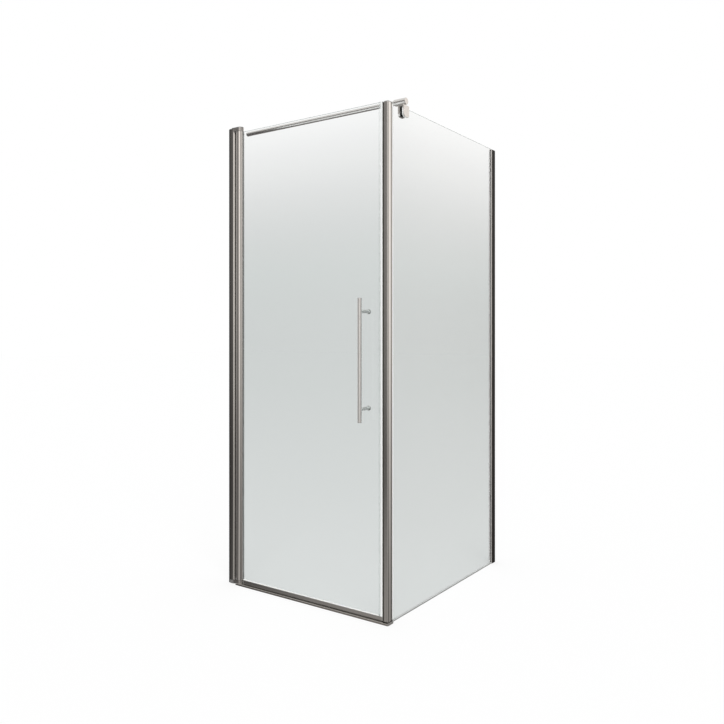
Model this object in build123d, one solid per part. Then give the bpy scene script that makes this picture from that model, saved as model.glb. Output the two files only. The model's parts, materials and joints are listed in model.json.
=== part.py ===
# Corner shower enclosure: a hinged glass door, a corner post and a fixed glass side panel.
# X runs along the door from the hinge wall to the corner post.
# Y runs along the side panel from the corner post to the far wall.
# Z is up. The origin is at the middle of the base of the whole enclosure.
from build123d import *
import os

# Overall sizes
door_side = 808.0
panel_side = 908.0
glass = 6.0
glass_inset = 5.0
door_glass_bottom = 14.1
side_glass_top = 1907.0
door_glass_drop = 2.0
side_glass_bottom = 4.2

# Clearances
slip_gap = 0.15
seat_gap = 0.05
pin_gap = 0.05
swing_gap = 0.35
end_gap = 0.3

# Hinge wall channel and the expander that slides over it
skin = 1.6
channel_reach = 23.0
expander_start = 8.0
expander_reach = 32.5
hinge_depth = 28.0
nose_radius = 9.0
hinge_cap_height = 2.0
shoe_height = 13.0
shoe_wall = 1.5

# Door stile and its pivots
hinge_setback = 60.0
stile_radius = 17.0
stile_skin = 2.0
stile_rise = 2.0
stile_lip_reach = 19.0
stile_pocket_floor = 7.3
stile_gasket = 1.2
stile_lip = 1.8
stile_gasket_start = 10.0
stile_gasket_proud = 1.0
plug_height = 35.0
pin_radius = 3.0
pin_length = 36.0
pin_in_block = 10.0
bush_radius = 4.7
bush_length = 22.0
washer_radius = 9.0
washer_thickness = 1.7
block_head_radius = 14.0
block_tail_width = 14.0
block_tail_start = 8.0
bottom_block_height = 14.0
top_block_height = 16.0
gap_seal_thickness = 2.0
gap_seal_head = 4.8
gap_seal_head_depth = 1.4
gap_seal_head_set = 2.3

# Threshold under the door
threshold_height = 7.0
threshold_front = 9.0
threshold_back = 12.0
threshold_left = 46.0
threshold_nose_radius = 2.0
threshold_edge_radius = 1.0
threshold_cap = 3.0
sealant_groove_width = 6.0
sealant_groove_depth = 2.5
threshold_wrap = 5.0
threshold_wrap_back = 30.0
threshold_wrap_radius = 4.0

# Corner post
post_width = 18.4
post_depth = 31.0
post_skin = 1.8
post_corner_radius = 4.0
post_small_radius = 0.8
post_cap_height = 3.0
post_drop = 6.0
post_pocket_start = 17.5
post_gasket = 1.6
post_gasket_set = 2.0
post_gasket_proud = 9.0
post_lip_step = 0.8
post_lip_taper = 1.6
post_groove_width = 1.2
post_groove_depth = 0.7
post_groove_x = 7.0
post_spigot = 10.0
magnet_slot_mouth = 4.4
magnet_slot_width = 7.2
magnet_slot_depth = 4.7

# Magnet seals between the door and the corner post
seal_width = 9.0
fixed_seal_proud = 8.0
door_seal_depth = 8.0
door_seal_leg = 9.0
door_seal_leg_wall = 1.0
seal_stem = 4.0
seal_head = 6.8
seal_head_depth = 1.9
fixed_magnet_depth = 2.2
magnet_width = 5.0
door_magnet_depth = 4.8
seal_nose_radius = 1.2

# Bottom rail of the door
rail_bottom = 9.0
rail_top = 24.0
rail_wall = 1.5
rail_liner = 1.0
rail_floor = 13.0
rail_groove_width = 4.0
rail_groove_depth = 3.0
rail_lip_height = 3.5
rail_cap = 1.2
rail_radius = 0.8
drip_lip_width = 9.4
drip_lip_thickness = 1.2

# Handle on the door
handle_bar_radius = 8.0
handle_bar_wall = 1.5
handle_length = 456.0
handle_pitch = 358.0
handle_height = 960.0
handle_from_corner = 96.0
handle_standoff = 48.0
handle_end_cap = 1.5
handle_end_round = 0.5
handle_end_spigot = 6.0
standoff_radius = 7.5
saddle_cut_height = 30.0
handle_washer = 1.0
handle_stud_radius = 3.0
handle_stud_depth = 25.0
handle_hole_radius = 6.5
cap_nut_radius = 9.0
cap_nut_length = 8.0
cap_nut_depth = 6.0
cap_nut_round = 1.5

# Side panel profiles at the far wall
wall_channel_width = 16.0
wall_channel_depth = 26.0
adjust_start = 34.0
adjust_end = 12.0
adjust_skin = 1.4
adjust_gasket_depth = 12.0
side_gasket_proud = 13.0
side_profile_drop = 4.0
side_cap_height = 2.0
side_seal_wall = 0.85
side_seal_top = 6.5

# Brace bar and the clamp that holds it on the side panel
brace_radius = 9.0
brace_wall = 1.5
brace_setback = 117.0
plug_flange = 3.0
plug_spigot = 25.0
plug_screw_radius = 2.0
plug_grub_length = 4.0
barrel_radius = 13.0
barrel_start = 46.0
barrel_bore_end = 16.0
clamp_proud = 6.0
end_cap_thickness = 3.0
end_cap_spigot_radius = 5.0
end_cap_spigot = 5.0
barrel_edge = 1.0
fork_width = 40.0
fork_drop = 38.0
fork_rise = 7.0
neck_show = 3.0
fork_corner_radius = 12.0
fork_inner_cheek = 8.0
fork_edge = 1.2
pad_thickness = 4.0
pad_margin = 3.0
pad_corner_radius = 10.0
neck_radius = 7.0
stud_radius = 3.0
stud_into_barrel = 7.0
stud_into_fork = 5.0

# Small fasteners
lock_screw_radius = 2.0
lock_screw_head_radius = 4.0
lock_screw_head = 2.4
lock_screw_tip = 0.6
lock_screw_round = 0.8
lock_screw_heights = (250.0, 952.0, 1655.0)
hinge_lock_screw_x = 20.0
side_lock_screw_y = 19.5
block_screw_depth = 6.0
block_screw_offsets = (12.0, 20.4)
grub_radius = 3.0
grub_small_radius = 2.0
grub_proud = 1.0
fork_grub_spread = 10.0
fork_grub_rise = 17.0
barrel_grub_x = 35.0
plug_grub_x = 15.0

# Holes for the wall screws
wall_hole_radius = 3.25
wall_hole_heights = (200.0, 950.0, 1700.0)

# Datum planes: the two walls and the outer faces of the corner post
handle_proud = handle_standoff + handle_bar_radius - glass_inset
wall_x = -(door_side + clamp_proud) / 2
corner_x = wall_x + door_side
corner_y = -(panel_side + handle_proud) / 2 + handle_proud
wall_y = corner_y + panel_side

# Planes of the two panes
pane_front = corner_y + glass_inset
pane_back = pane_front + glass
pane_mid = pane_front + glass / 2
side_outer = corner_x - glass_inset
side_inner = side_outer - glass
side_mid = side_outer - glass / 2

# Places that several pieces share
axis_x = wall_x + hinge_setback
axis_y = pane_mid
post_left = corner_x - post_width
post_back = corner_y + post_depth
post_bottom = threshold_height + post_cap_height
door_glass_top = side_glass_top - door_glass_drop
post_top = side_glass_top - post_drop
side_profile_top = side_glass_top - side_profile_drop
bottom_block_top = threshold_height + bottom_block_height
stile_bottom = bottom_block_top + washer_thickness + end_gap
stile_top = door_glass_top + stile_rise
top_block_bottom = stile_top + end_gap + washer_thickness
hinge_profile_top = top_block_bottom + top_block_height
fixed_seal_face = post_left - fixed_seal_proud
door_seal_face = fixed_seal_face - swing_gap
door_glass_edge = door_seal_face - door_seal_depth - seat_gap
rail_start = axis_x + stile_lip_reach + stile_gasket_proud + end_gap
rail_body_start = rail_start + rail_cap
rail_body_end = door_seal_face - rail_cap
handle_x = corner_x - handle_from_corner
handle_y = pane_front - handle_standoff
handle_heights = (handle_height - handle_pitch / 2, handle_height + handle_pitch / 2)
adjust_front = wall_y - adjust_start
brace_y = corner_y + brace_setback
fork_bottom = side_glass_top - fork_drop
fork_top = side_glass_top + fork_rise
fork_grub_height = fork_bottom + fork_grub_rise
brace_height = fork_top + neck_show + barrel_radius
barrel_left = corner_x - barrel_start
barrel_right = corner_x + clamp_proud - end_cap_thickness


def block(x, y, z):
    """A box between two limits on each axis."""
    sizes = (x[1] - x[0], y[1] - y[0], z[1] - z[0])
    corner = (Align.MIN, Align.MIN, Align.MIN)
    return Pos(x[0], y[0], z[0]) * Box(*sizes, align=corner)


def plate(x, y):
    """A flat rectangle between two limits on X and Y."""
    middle = ((x[0] + x[1]) / 2, (y[0] + y[1]) / 2)
    return Pos(*middle) * Rectangle(x[1] - x[0], y[1] - y[0])


def about(middle, width):
    """Two limits at equal distances from a middle."""
    return (middle - width / 2, middle + width / 2)


def disc(x, y, radius):
    """A flat disc."""
    return Pos(x, y) * Circle(radius)


def raised(section, z):
    """A flat section drawn up between two heights."""
    return extrude(Pos(0, 0, z[0]) * section, amount=z[1] - z[0])


def post_rod(x, y, radius, z):
    """An upright round rod."""
    return raised(disc(x, y, radius), z)


def rod_x(radius, x, y, z):
    """A round rod along X between two limits."""
    foot = (Align.CENTER, Align.CENTER, Align.MIN)
    return Pos(x[0], y, z) * Rot(0, 90, 0) * Cylinder(radius, x[1] - x[0], align=foot)


def rod_y(radius, x, y, z):
    """A round rod along Y between two limits."""
    foot = (Align.CENTER, Align.CENTER, Align.MIN)
    return Pos(x, y[0], z) * Rot(-90, 0, 0) * Cylinder(radius, y[1] - y[0], align=foot)


def rounded(section, radius, *points):
    """The same section with the corners nearest the given points rounded."""
    chosen = []
    for x, y in points:
        nearest = sorted(section.vertices(), key=lambda v: (v.X - x) ** 2 + (v.Y - y) ** 2)[0]
        chosen.append(nearest)
    return fillet(chosen, radius)


def section_between(x, y, radius):
    """A rectangle with all four corners rounded."""
    shape = plate(x, y)
    return fillet(shape.vertices(), radius)


def group(solids):
    """Separate solids kept together as one node."""
    return Compound(children=list(solids))


def lock_screw_y(x, face, z, grip):
    """A pan-head screw along Y with its head outside a back face."""
    head = rod_y(lock_screw_head_radius, x, (face, face + lock_screw_head), z)
    head = fillet(head.edges().group_by(Axis.Y)[-1], lock_screw_round)
    shank = rod_y(lock_screw_radius, x, (face - grip, face), z)
    return head + shank


def lock_screw_x(face, y, z, grip):
    """A pan-head screw along X with its head outside an inner face."""
    head = rod_x(lock_screw_head_radius, (face - lock_screw_head, face), y, z)
    head = fillet(head.edges().group_by(Axis.X)[0], lock_screw_round)
    shank = rod_x(lock_screw_radius, (face, face + grip), y, z)
    return head + shank


# Limits of the hinge-side profiles
hinge_front = corner_y
hinge_back = corner_y + hinge_depth
channel_front = hinge_front + skin + slip_gap
channel_back = hinge_back - skin - slip_gap
expander_left = wall_x + expander_start
expander_right = wall_x + expander_reach
hinge_screw_grip = skin + slip_gap + skin + lock_screw_tip
hinge_screw_x = wall_x + hinge_lock_screw_x
screw_hole = lock_screw_radius + pin_gap
block_screw_reach = skin + slip_gap + skin + slip_gap + block_screw_depth
block_heights = (
    (threshold_height, bottom_block_top),
    (top_block_bottom, hinge_profile_top),
)
tail_front = channel_front + skin + slip_gap
tail_y = (tail_front, tail_front + block_tail_width)
seal_head_right = expander_right - gap_seal_head_set
seal_head_left = seal_head_right - gap_seal_head_depth


def hinge_side_holes():
    """Cutters for the screws that lock the expander and hold the pivot blocks."""
    cutters = []
    span = (hinge_back - block_screw_reach, hinge_back)
    for z in lock_screw_heights:
        cutters.append(rod_y(screw_hole, hinge_screw_x, span, z))
    for low, high in block_heights:
        for offset in block_screw_offsets:
            cutters.append(rod_y(screw_hole, wall_x + offset, span, (low + high) / 2))
    return cutters


def make_hinge_wall_channel():
    """The U-channel screwed to the hinge wall, open toward the door."""
    outer = plate((wall_x, wall_x + channel_reach), (channel_front, channel_back))
    inside = (channel_front + skin, channel_back - skin)
    hollow = plate((wall_x + skin, wall_x + channel_reach), inside)
    channel = raised(outer - hollow, (0, hinge_profile_top))
    middle = (channel_front + channel_back) / 2
    for z in wall_hole_heights:
        channel -= rod_x(wall_hole_radius, (wall_x, wall_x + skin), middle, z)
    for cutter in hinge_side_holes():
        channel -= cutter
    return channel


def expander_outline(inset):
    """The expander's section or, with an inset, its hollow."""
    right = expander_right - inset
    front = hinge_front + inset
    back = hinge_back - inset
    shape = plate((expander_left, right), (front, back))
    return rounded(shape, nose_radius - inset, (right, front), (right, back))


def make_hinge_expander():
    """The outer profile that slides over the wall channel and carries the pivots."""
    boss_width = gap_seal_head + 2 * (slip_gap + skin)
    boss = plate((seal_head_left - slip_gap - skin, expander_right), about(axis_y, boss_width))
    section = expander_outline(0) - expander_outline(skin) + (boss & expander_outline(0))
    section -= plate((seal_head_left, expander_right), about(axis_y, gap_seal_thickness + 2 * slip_gap))
    head_x = (seal_head_left - slip_gap, seal_head_right + slip_gap)
    section -= plate(head_x, about(axis_y, gap_seal_head + 2 * slip_gap))
    expander = raised(section, (0, hinge_profile_top))
    notch_x = (wall_x + channel_reach, expander_right)
    notch_y = (tail_y[0] - slip_gap, tail_y[1] + slip_gap)
    expander -= block(notch_x, notch_y, (0, bottom_block_top + slip_gap))
    expander -= block(notch_x, notch_y, (top_block_bottom - slip_gap, hinge_profile_top))
    for cutter in hinge_side_holes():
        expander -= cutter
    return expander


def pivot_block_outline():
    """Plan of a pivot block: a round head about the pivot and a straight tail."""
    tail = plate((wall_x + block_tail_start, axis_x), tail_y)
    neck = plate((expander_right + slip_gap, axis_x), about(axis_y, 2 * block_head_radius))
    head = disc(axis_x, axis_y, block_head_radius)
    return tail + neck + head


def make_pivot_block(z, pin_from):
    """One pivot block with its pin hole and its two screw holes."""
    body = raised(pivot_block_outline(), z)
    body -= post_rod(axis_x, axis_y, pin_radius + pin_gap, pin_from)
    reach = (tail_y[1] - block_screw_depth, tail_y[1])
    for offset in block_screw_offsets:
        body -= rod_y(screw_hole, wall_x + offset, reach, (z[0] + z[1]) / 2)
    return body


bottom_pin = (bottom_block_top - pin_in_block, bottom_block_top - pin_in_block + pin_length)
top_pin = (top_block_bottom + pin_in_block - pin_length, top_block_bottom + pin_in_block)


def make_pivot_pins():
    """The two steel pins that the door turns on."""
    return group(post_rod(axis_x, axis_y, pin_radius, z) for z in (bottom_pin, top_pin))


def make_thrust_washers():
    """The washers that carry the stile's ends."""
    rings = []
    for low in (bottom_block_top, top_block_bottom - washer_thickness):
        ring = disc(axis_x, axis_y, washer_radius) - disc(axis_x, axis_y, pin_radius + pin_gap)
        rings.append(raised(ring, (low, low + washer_thickness)))
    return group(rings)


def make_pivot_block_screws():
    """Four screws through the profiles into the blocks."""
    grip = hinge_back - tail_y[1] + block_screw_depth - lock_screw_tip
    screws = []
    for low, high in block_heights:
        for offset in block_screw_offsets:
            screws.append(lock_screw_y(wall_x + offset, hinge_back, (low + high) / 2, grip))
    return group(screws)


def make_hinge_lock_screws():
    """Three screws that lock the expander to the wall channel."""
    screws = []
    for z in lock_screw_heights:
        screws.append(lock_screw_y(hinge_screw_x, hinge_back, z, hinge_screw_grip))
    return group(screws)


def make_hinge_top_cap():
    """The flat cap over the profiles and the top pivot block."""
    channel = plate((wall_x, expander_left), (channel_front, channel_back))
    neck = plate((wall_x + channel_reach, axis_x), about(axis_y, 2 * block_head_radius))
    head = disc(axis_x, axis_y, block_head_radius)
    outline = channel + expander_outline(0) + neck + head
    return raised(outline, (hinge_profile_top, hinge_profile_top + hinge_cap_height))


def make_hinge_base_shoe():
    """The moulded shoe round the front and right side of the expander's foot."""
    front = hinge_front - slip_gap
    right = expander_right + slip_gap
    outer = plate((expander_left, right + shoe_wall), (front - shoe_wall, hinge_back))
    outer = rounded(outer, nose_radius + shoe_wall, (right + shoe_wall, front - shoe_wall))
    inner = plate((expander_left, right), (front, hinge_back))
    inner = rounded(inner, nose_radius, (right, front))
    shoe = raised(outer - inner, (0, shoe_height))
    way_x = (right - nose_radius, right + shoe_wall)
    way_y = (tail_y[0] - 2 * slip_gap, hinge_back)
    return shoe - block(way_x, way_y, (threshold_height - slip_gap, shoe_height))


def make_hinge_gap_seal():
    """The dark fin that closes the gap between the expander and the turning stile."""
    tip = axis_x - stile_radius - swing_gap
    fin = plate((seal_head_left, tip), about(axis_y, gap_seal_thickness))
    head = plate((seal_head_left, seal_head_right), about(axis_y, gap_seal_head))
    return raised(fin + head, (stile_bottom, stile_top))


def make_threshold_rail():
    """The low rail on the tray under the door."""
    y = (corner_y - threshold_front, corner_y + threshold_back)
    x = (wall_x + threshold_left + threshold_cap, corner_x)
    rail = block(x, y, (0, threshold_height))
    top_edges = rail.edges().filter_by(Axis.X).group_by(Axis.Z)[-1].sort_by(Axis.Y)
    rail = fillet(top_edges[0], threshold_nose_radius)
    back_edge = rail.edges().filter_by(Axis.X).group_by(Axis.Z)[-1].sort_by(Axis.Y)[-1]
    rail = fillet(back_edge, threshold_edge_radius)
    third = (y[1] - y[0]) / 3
    for middle in (y[0] + third, y[1] - third):
        groove = about(middle, sealant_groove_width)
        rail -= block(x, groove, (0, sealant_groove_depth))
    return rail


def make_threshold_left_cap():
    """The plain end cap at the hinge end of the threshold."""
    y = (corner_y - threshold_front, corner_y + threshold_back)
    x = (wall_x + threshold_left, wall_x + threshold_left + threshold_cap)
    outline = plate(x, y)
    outline = rounded(outline, threshold_cap - slip_gap, (x[0], y[0]))
    return raised(outline, (0, threshold_height))


def make_threshold_right_cap():
    """The rounded end that wraps the foot of the corner post."""
    x = (corner_x, corner_x + threshold_wrap)
    y = (corner_y - threshold_front, corner_y + threshold_wrap_back)
    outline = plate(x, y)
    outline = rounded(outline, threshold_wrap_radius, (x[1], y[0]), (x[1], y[1]))
    cap = raised(outline, (0, threshold_height))
    top_edges = cap.edges().group_by(Axis.Z)[-1]
    outer = top_edges.filter_by(lambda edge: edge.center().X > corner_x + seat_gap)
    return fillet(outer, threshold_edge_radius)


def post_chambers(gap=0):
    """The two hollow chambers of the corner post, or spigots that fit them."""
    front = (corner_y + post_skin + gap, corner_y + post_pocket_start - post_skin - gap)
    slot_end = post_left + magnet_slot_depth + post_skin
    front_x = (slot_end + gap, corner_x - post_skin - gap)
    chamber = plate(front_x, front)
    radius = post_corner_radius - post_skin
    chamber = rounded(chamber, radius, (front_x[1], front[0]))
    pocket_left = side_mid - glass / 2 - post_gasket
    back_x = (post_left + post_skin + gap, pocket_left - post_skin - gap)
    back = (corner_y + post_pocket_start + gap, post_back - post_skin - gap)
    return chamber, plate(back_x, back)


def post_outline():
    """The outside of the corner post, with its glass pocket left open."""
    shape = plate((post_left, corner_x), (corner_y, post_back))
    shape = rounded(shape, post_corner_radius, (corner_x, corner_y))
    corners = ((post_left, corner_y), (post_left, post_back), (corner_x, post_back))
    shape = rounded(shape, post_small_radius, *corners)
    pocket = about(side_mid, glass + 2 * post_gasket)
    shape -= plate(pocket, (corner_y + post_pocket_start, post_back))
    return shape


def post_lip_cut():
    """What the outer lip of the pocket is set in by, with its taper toward the back."""
    front = corner_y + post_pocket_start
    step_x = corner_x - post_lip_step
    tip_x = step_x - post_lip_taper
    corners = [(step_x, front), (corner_x, front), (corner_x, post_back), (tip_x, post_back)]
    return make_face(Polyline(*corners, close=True))


def make_corner_post():
    """The corner extrusion: glass pocket behind, magnet slot toward the door."""
    section = post_outline()
    for chamber in post_chambers():
        section -= chamber
    mouth = plate((post_left, post_left + post_skin), about(pane_mid, magnet_slot_mouth))
    slot_x = (post_left + post_skin, post_left + magnet_slot_depth)
    section -= mouth + plate(slot_x, about(pane_mid, magnet_slot_width))
    section -= post_lip_cut()
    groove_x = about(corner_x - post_groove_x, post_groove_width)
    section -= plate(groove_x, (corner_y, corner_y + post_groove_depth))
    return raised(section, (post_bottom, post_top))


def make_post_top_cap():
    """The top cap with spigots that push into the chambers."""
    cap = raised(post_outline(), (post_top, post_top + post_cap_height))
    for spigot in post_chambers(slip_gap):
        cap += raised(spigot, (post_top - post_spigot, post_top))
    return cap


def make_post_bottom_cap():
    """The bottom cap, with a foot that reaches the tray behind the threshold."""
    cap = raised(post_outline(), (threshold_height, post_bottom))
    for spigot in post_chambers(slip_gap):
        cap += raised(spigot, (post_bottom, post_bottom + post_spigot))
    pocket_left = side_mid - glass / 2 - post_gasket
    foot_y = (corner_y + threshold_back + slip_gap, post_back)
    foot = block((post_left, pocket_left), foot_y, (0, threshold_height))
    return cap + foot


def make_post_magnet_seal():
    """The fixed seal in the post's slot, with a hollow for its magnet."""
    nose = section_between((fixed_seal_face, post_left), about(pane_mid, seal_width), seal_nose_radius)
    stem_end = post_left + magnet_slot_depth - slip_gap
    stem = plate((post_left - seal_nose_radius, stem_end), about(pane_mid, seal_stem))
    head = plate((stem_end - seal_head_depth, stem_end), about(pane_mid, seal_head))
    section = nose + stem + head
    section -= fixed_magnet_space(seat_gap)
    return raised(section, (post_bottom, post_top))


def fixed_magnet_space(gap=0):
    """Section of the fixed magnet, or of the hollow that holds it."""
    middle = (fixed_seal_face + post_left) / 2
    return plate(about(middle, fixed_magnet_depth + 2 * gap), about(pane_mid, magnet_width + 2 * gap))


def make_post_magnet_core():
    """The magnet strip inside the fixed seal."""
    return raised(fixed_magnet_space(), (post_bottom, post_top))


def strips(middle, gap, y, z):
    """Two gasket strips, one on each face of the side pane."""
    thickness = gap - 2 * seat_gap
    inner = middle - glass / 2 - seat_gap - thickness
    outer = middle + glass / 2 + seat_gap
    return [block((x, x + thickness), y, z) for x in (inner, outer)]


def make_post_glazing_gaskets():
    """The gaskets that hold the side pane in the post's pocket."""
    y = (corner_y + post_pocket_start + post_gasket_set, post_back + post_gasket_proud)
    return group(strips(side_mid, post_gasket, y, (post_bottom, post_top)))


def make_side_glass():
    """The fixed pane."""
    y = (corner_y + post_pocket_start + end_gap, wall_y - adjust_end - adjust_skin - end_gap)
    return block((side_inner, side_outer), y, (side_glass_bottom, side_glass_top))


def make_side_bottom_seal():
    """The dark strip that the fixed pane stands in."""
    y = (post_back, adjust_front - seat_gap)
    width = glass + 2 * (side_seal_wall + seat_gap)
    strip = block(about(side_mid, width), y, (0, side_seal_top))
    slot = block(about(side_mid, glass + 2 * seat_gap), y, (side_glass_bottom - seat_gap, side_seal_top))
    return strip - slot


def side_screw_holes():
    """Cutters for the screws that lock the adjusting profile."""
    span = (side_mid - wall_channel_width / 2, side_mid - glass / 2)
    cutters = []
    for z in lock_screw_heights:
        cutters.append(rod_x(screw_hole, span, wall_y - side_lock_screw_y, z))
    return cutters


def make_side_wall_channel():
    """The U-channel screwed to the far wall."""
    front = wall_y - wall_channel_depth
    outer = plate(about(side_mid, wall_channel_width), (front, wall_y))
    hollow = plate(about(side_mid, wall_channel_width - 2 * skin), (front, wall_y - skin))
    channel = raised(outer - hollow, (0, side_profile_top))
    for z in wall_hole_heights:
        channel -= rod_y(wall_hole_radius, side_mid, (wall_y - skin, wall_y), z)
    for cutter in side_screw_holes():
        channel -= cutter
    return channel


adjust_width = wall_channel_width - 2 * (skin + slip_gap)
adjust_hollow = adjust_width - 2 * adjust_skin


def make_side_adjust_profile():
    """The U-profile on the pane's edge that slides in the wall channel."""
    y = (adjust_front, wall_y - adjust_end)
    outer = plate(about(side_mid, adjust_width), y)
    hollow = plate(about(side_mid, adjust_hollow), (y[0], y[1] - adjust_skin))
    profile = raised(outer - hollow, (0, side_profile_top))
    for cutter in side_screw_holes():
        profile -= cutter
    return profile


def make_side_glazing_gaskets():
    """The gaskets that hold the side pane in the adjusting profile."""
    y = (adjust_front - side_gasket_proud, adjust_front + adjust_gasket_depth)
    gap = (adjust_hollow - glass) / 2
    return group(strips(side_mid, gap, y, (side_seal_top, side_profile_top)))


def make_side_top_cap():
    """The cap over both far-wall profiles, open where the pane rises through."""
    channel = plate(about(side_mid, wall_channel_width), (wall_y - wall_channel_depth, wall_y))
    front = plate(about(side_mid, adjust_width), (adjust_front, wall_y))
    way = plate(about(side_mid, glass + 2 * slip_gap), (adjust_front, wall_y - adjust_end))
    return raised(channel + front - way, (side_profile_top, side_profile_top + side_cap_height))


def make_side_lock_screws():
    """Three screws that lock the adjusting profile in the wall channel."""
    face = side_mid - wall_channel_width / 2
    grip = skin + slip_gap + adjust_skin + lock_screw_tip
    screws = []
    for z in lock_screw_heights:
        screws.append(lock_screw_x(face, wall_y - side_lock_screw_y, z, grip))
    return group(screws)


def make_door_glass():
    """The door pane, notched over the bottom pivot and drilled for the handle."""
    left = axis_x + stile_pocket_floor
    pane = block((left, door_glass_edge), (pane_front, pane_back), (door_glass_bottom, door_glass_top))
    notch = block((left, rail_body_start), (pane_front, pane_back), (door_glass_bottom, rail_top + seat_gap))
    pane -= notch
    for z in handle_heights:
        pane -= rod_y(handle_hole_radius, handle_x, (pane_front, pane_back), z)
    return pane


def stile_pocket():
    """The box inside the round stile that holds the pane's edge."""
    half = glass / 2 + stile_gasket + stile_lip
    back = axis_x + stile_pocket_floor - stile_lip
    return plate((back, axis_x + stile_lip_reach), about(axis_y, 2 * half))


def stile_slot():
    """The slot for the pane and its gaskets."""
    reach = (axis_x + stile_pocket_floor - end_gap, axis_x + stile_lip_reach)
    return plate(reach, about(axis_y, glass + 2 * stile_gasket))


def make_door_stile():
    """The round hinge stile, a tube with a glass pocket toward the door."""
    tube = disc(axis_x, axis_y, stile_radius) - disc(axis_x, axis_y, stile_radius - stile_skin)
    section = tube + stile_pocket() - stile_slot()
    return raised(section, (stile_bottom, stile_top))


def make_stile_gaskets():
    """The two gaskets that grip the door pane in the stile."""
    thickness = stile_gasket - 2 * seat_gap
    x = (axis_x + stile_gasket_start, axis_x + stile_lip_reach + stile_gasket_proud)
    z = (stile_bottom, door_glass_top)
    front = block(x, (pane_front - seat_gap - thickness, pane_front - seat_gap), z)
    back = block(x, (pane_back + seat_gap, pane_back + seat_gap + thickness), z)
    return group([front, back])


def make_stile_plug(z, bush_z):
    """A plug in one end of the stile, bored for its bush and pin."""
    room = disc(axis_x, axis_y, stile_radius - stile_skin - slip_gap)
    box = plate(
        (axis_x + stile_pocket_floor - stile_lip - slip_gap, axis_x + stile_radius),
        about(axis_y, 2 * (glass / 2 + stile_gasket + stile_lip + slip_gap)),
    )
    plug = raised(room - box, z)
    largest = plug.solids().sort_by(SortBy.VOLUME)[-1]
    pin_way = post_rod(axis_x, axis_y, pin_radius + 2 * pin_gap, z)
    seat = post_rod(axis_x, axis_y, bush_radius + pin_gap, bush_z)
    return largest - pin_way - seat


bottom_bush = (stile_bottom, stile_bottom + bush_length)
top_bush = (stile_top - bush_length, stile_top)


def make_pivot_bushes():
    """The two plastic bushes that run on the pins."""
    ring = disc(axis_x, axis_y, bush_radius) - disc(axis_x, axis_y, pin_radius + pin_gap)
    return group(raised(ring, z) for z in (bottom_bush, top_bush))


def door_magnet_space(gap=0):
    """Section of the door's magnet, or of the hollow that holds it."""
    middle = door_seal_face - door_seal_depth / 2
    return plate(about(middle, door_magnet_depth + 2 * gap), about(pane_mid, magnet_width + 2 * gap))


def make_door_magnet_seal():
    """The seal on the door's free edge: two legs on the glass and a hollow nose."""
    nose_x = (door_seal_face - door_seal_depth, door_seal_face)
    section = section_between(nose_x, about(pane_mid, seal_width), seal_nose_radius)
    outer = plate(
        (door_glass_edge - door_seal_leg, nose_x[0] + seal_nose_radius),
        about(pane_mid, glass + 2 * (seat_gap + door_seal_leg_wall)),
    )
    grip = plate((door_glass_edge - door_seal_leg, nose_x[0]), about(pane_mid, glass + 2 * seat_gap))
    section = section + outer - grip
    section -= door_magnet_space(seat_gap)
    return raised(section, (rail_top + seat_gap, door_glass_top))


def make_door_magnet_core():
    """The magnet strip inside the door's seal."""
    return raised(door_magnet_space(), (rail_top + seat_gap, door_glass_top))


rail_half = glass / 2 + rail_liner + rail_wall
rail_y = about(pane_mid, 2 * rail_half)


def make_door_bottom_rail():
    """The rail on the pane's lower edge, slotted above and grooved below."""
    x = (rail_body_start, rail_body_end)
    rail = block(x, rail_y, (rail_bottom, rail_top))
    rail = fillet(rail.edges().filter_by(Axis.X), rail_radius)
    rail -= block(x, about(pane_mid, glass + 2 * rail_liner), (rail_floor, rail_top))
    rail -= block(x, about(pane_mid, rail_groove_width), (rail_bottom, rail_bottom + rail_groove_depth))
    return rail


def make_rail_gasket():
    """The liner between the pane and the rail, with a lip above the rail up to the magnet seal."""
    x = (rail_body_start, door_glass_edge)
    lip_x = (rail_body_start, door_glass_edge - door_seal_leg - seat_gap)
    y = about(pane_mid, glass + 2 * rail_liner - 2 * seat_gap)
    lip_top = rail_top + rail_lip_height
    liner = block(x, y, (rail_floor + seat_gap, rail_top))
    lip = block(lip_x, y, (rail_top, lip_top))
    slot = block(x, about(pane_mid, glass + 2 * seat_gap), (door_glass_bottom - seat_gap, lip_top))
    return liner + lip - slot


def make_rail_end_caps():
    """The two flat caps on the ends of the rail."""
    caps = []
    for x in ((rail_start, rail_body_start), (rail_body_end, door_seal_face)):
        cap = block(x, rail_y, (rail_bottom, rail_top))
        caps.append(fillet(cap.edges().filter_by(Axis.X), rail_radius))
    return group(caps)


def make_door_drip_seal():
    """The wiper under the rail, just above the threshold."""
    x = (rail_body_start, rail_body_end)
    low = threshold_height + swing_gap
    lip_top = low + drip_lip_thickness
    lip = block(x, about(pane_mid, drip_lip_width), (low, lip_top))
    foot_z = (lip_top, rail_bottom + rail_groove_depth - seat_gap)
    foot = block(x, about(pane_mid, rail_groove_width - 2 * seat_gap), foot_z)
    return lip + foot


handle_z = about(handle_height, handle_length)


def make_handle_bar():
    """The upright grip tube."""
    z = (handle_z[0] + handle_end_cap, handle_z[1] - handle_end_cap)
    outer = disc(handle_x, handle_y, handle_bar_radius)
    inner = disc(handle_x, handle_y, handle_bar_radius - handle_bar_wall)
    return raised(outer - inner, z)


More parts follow.
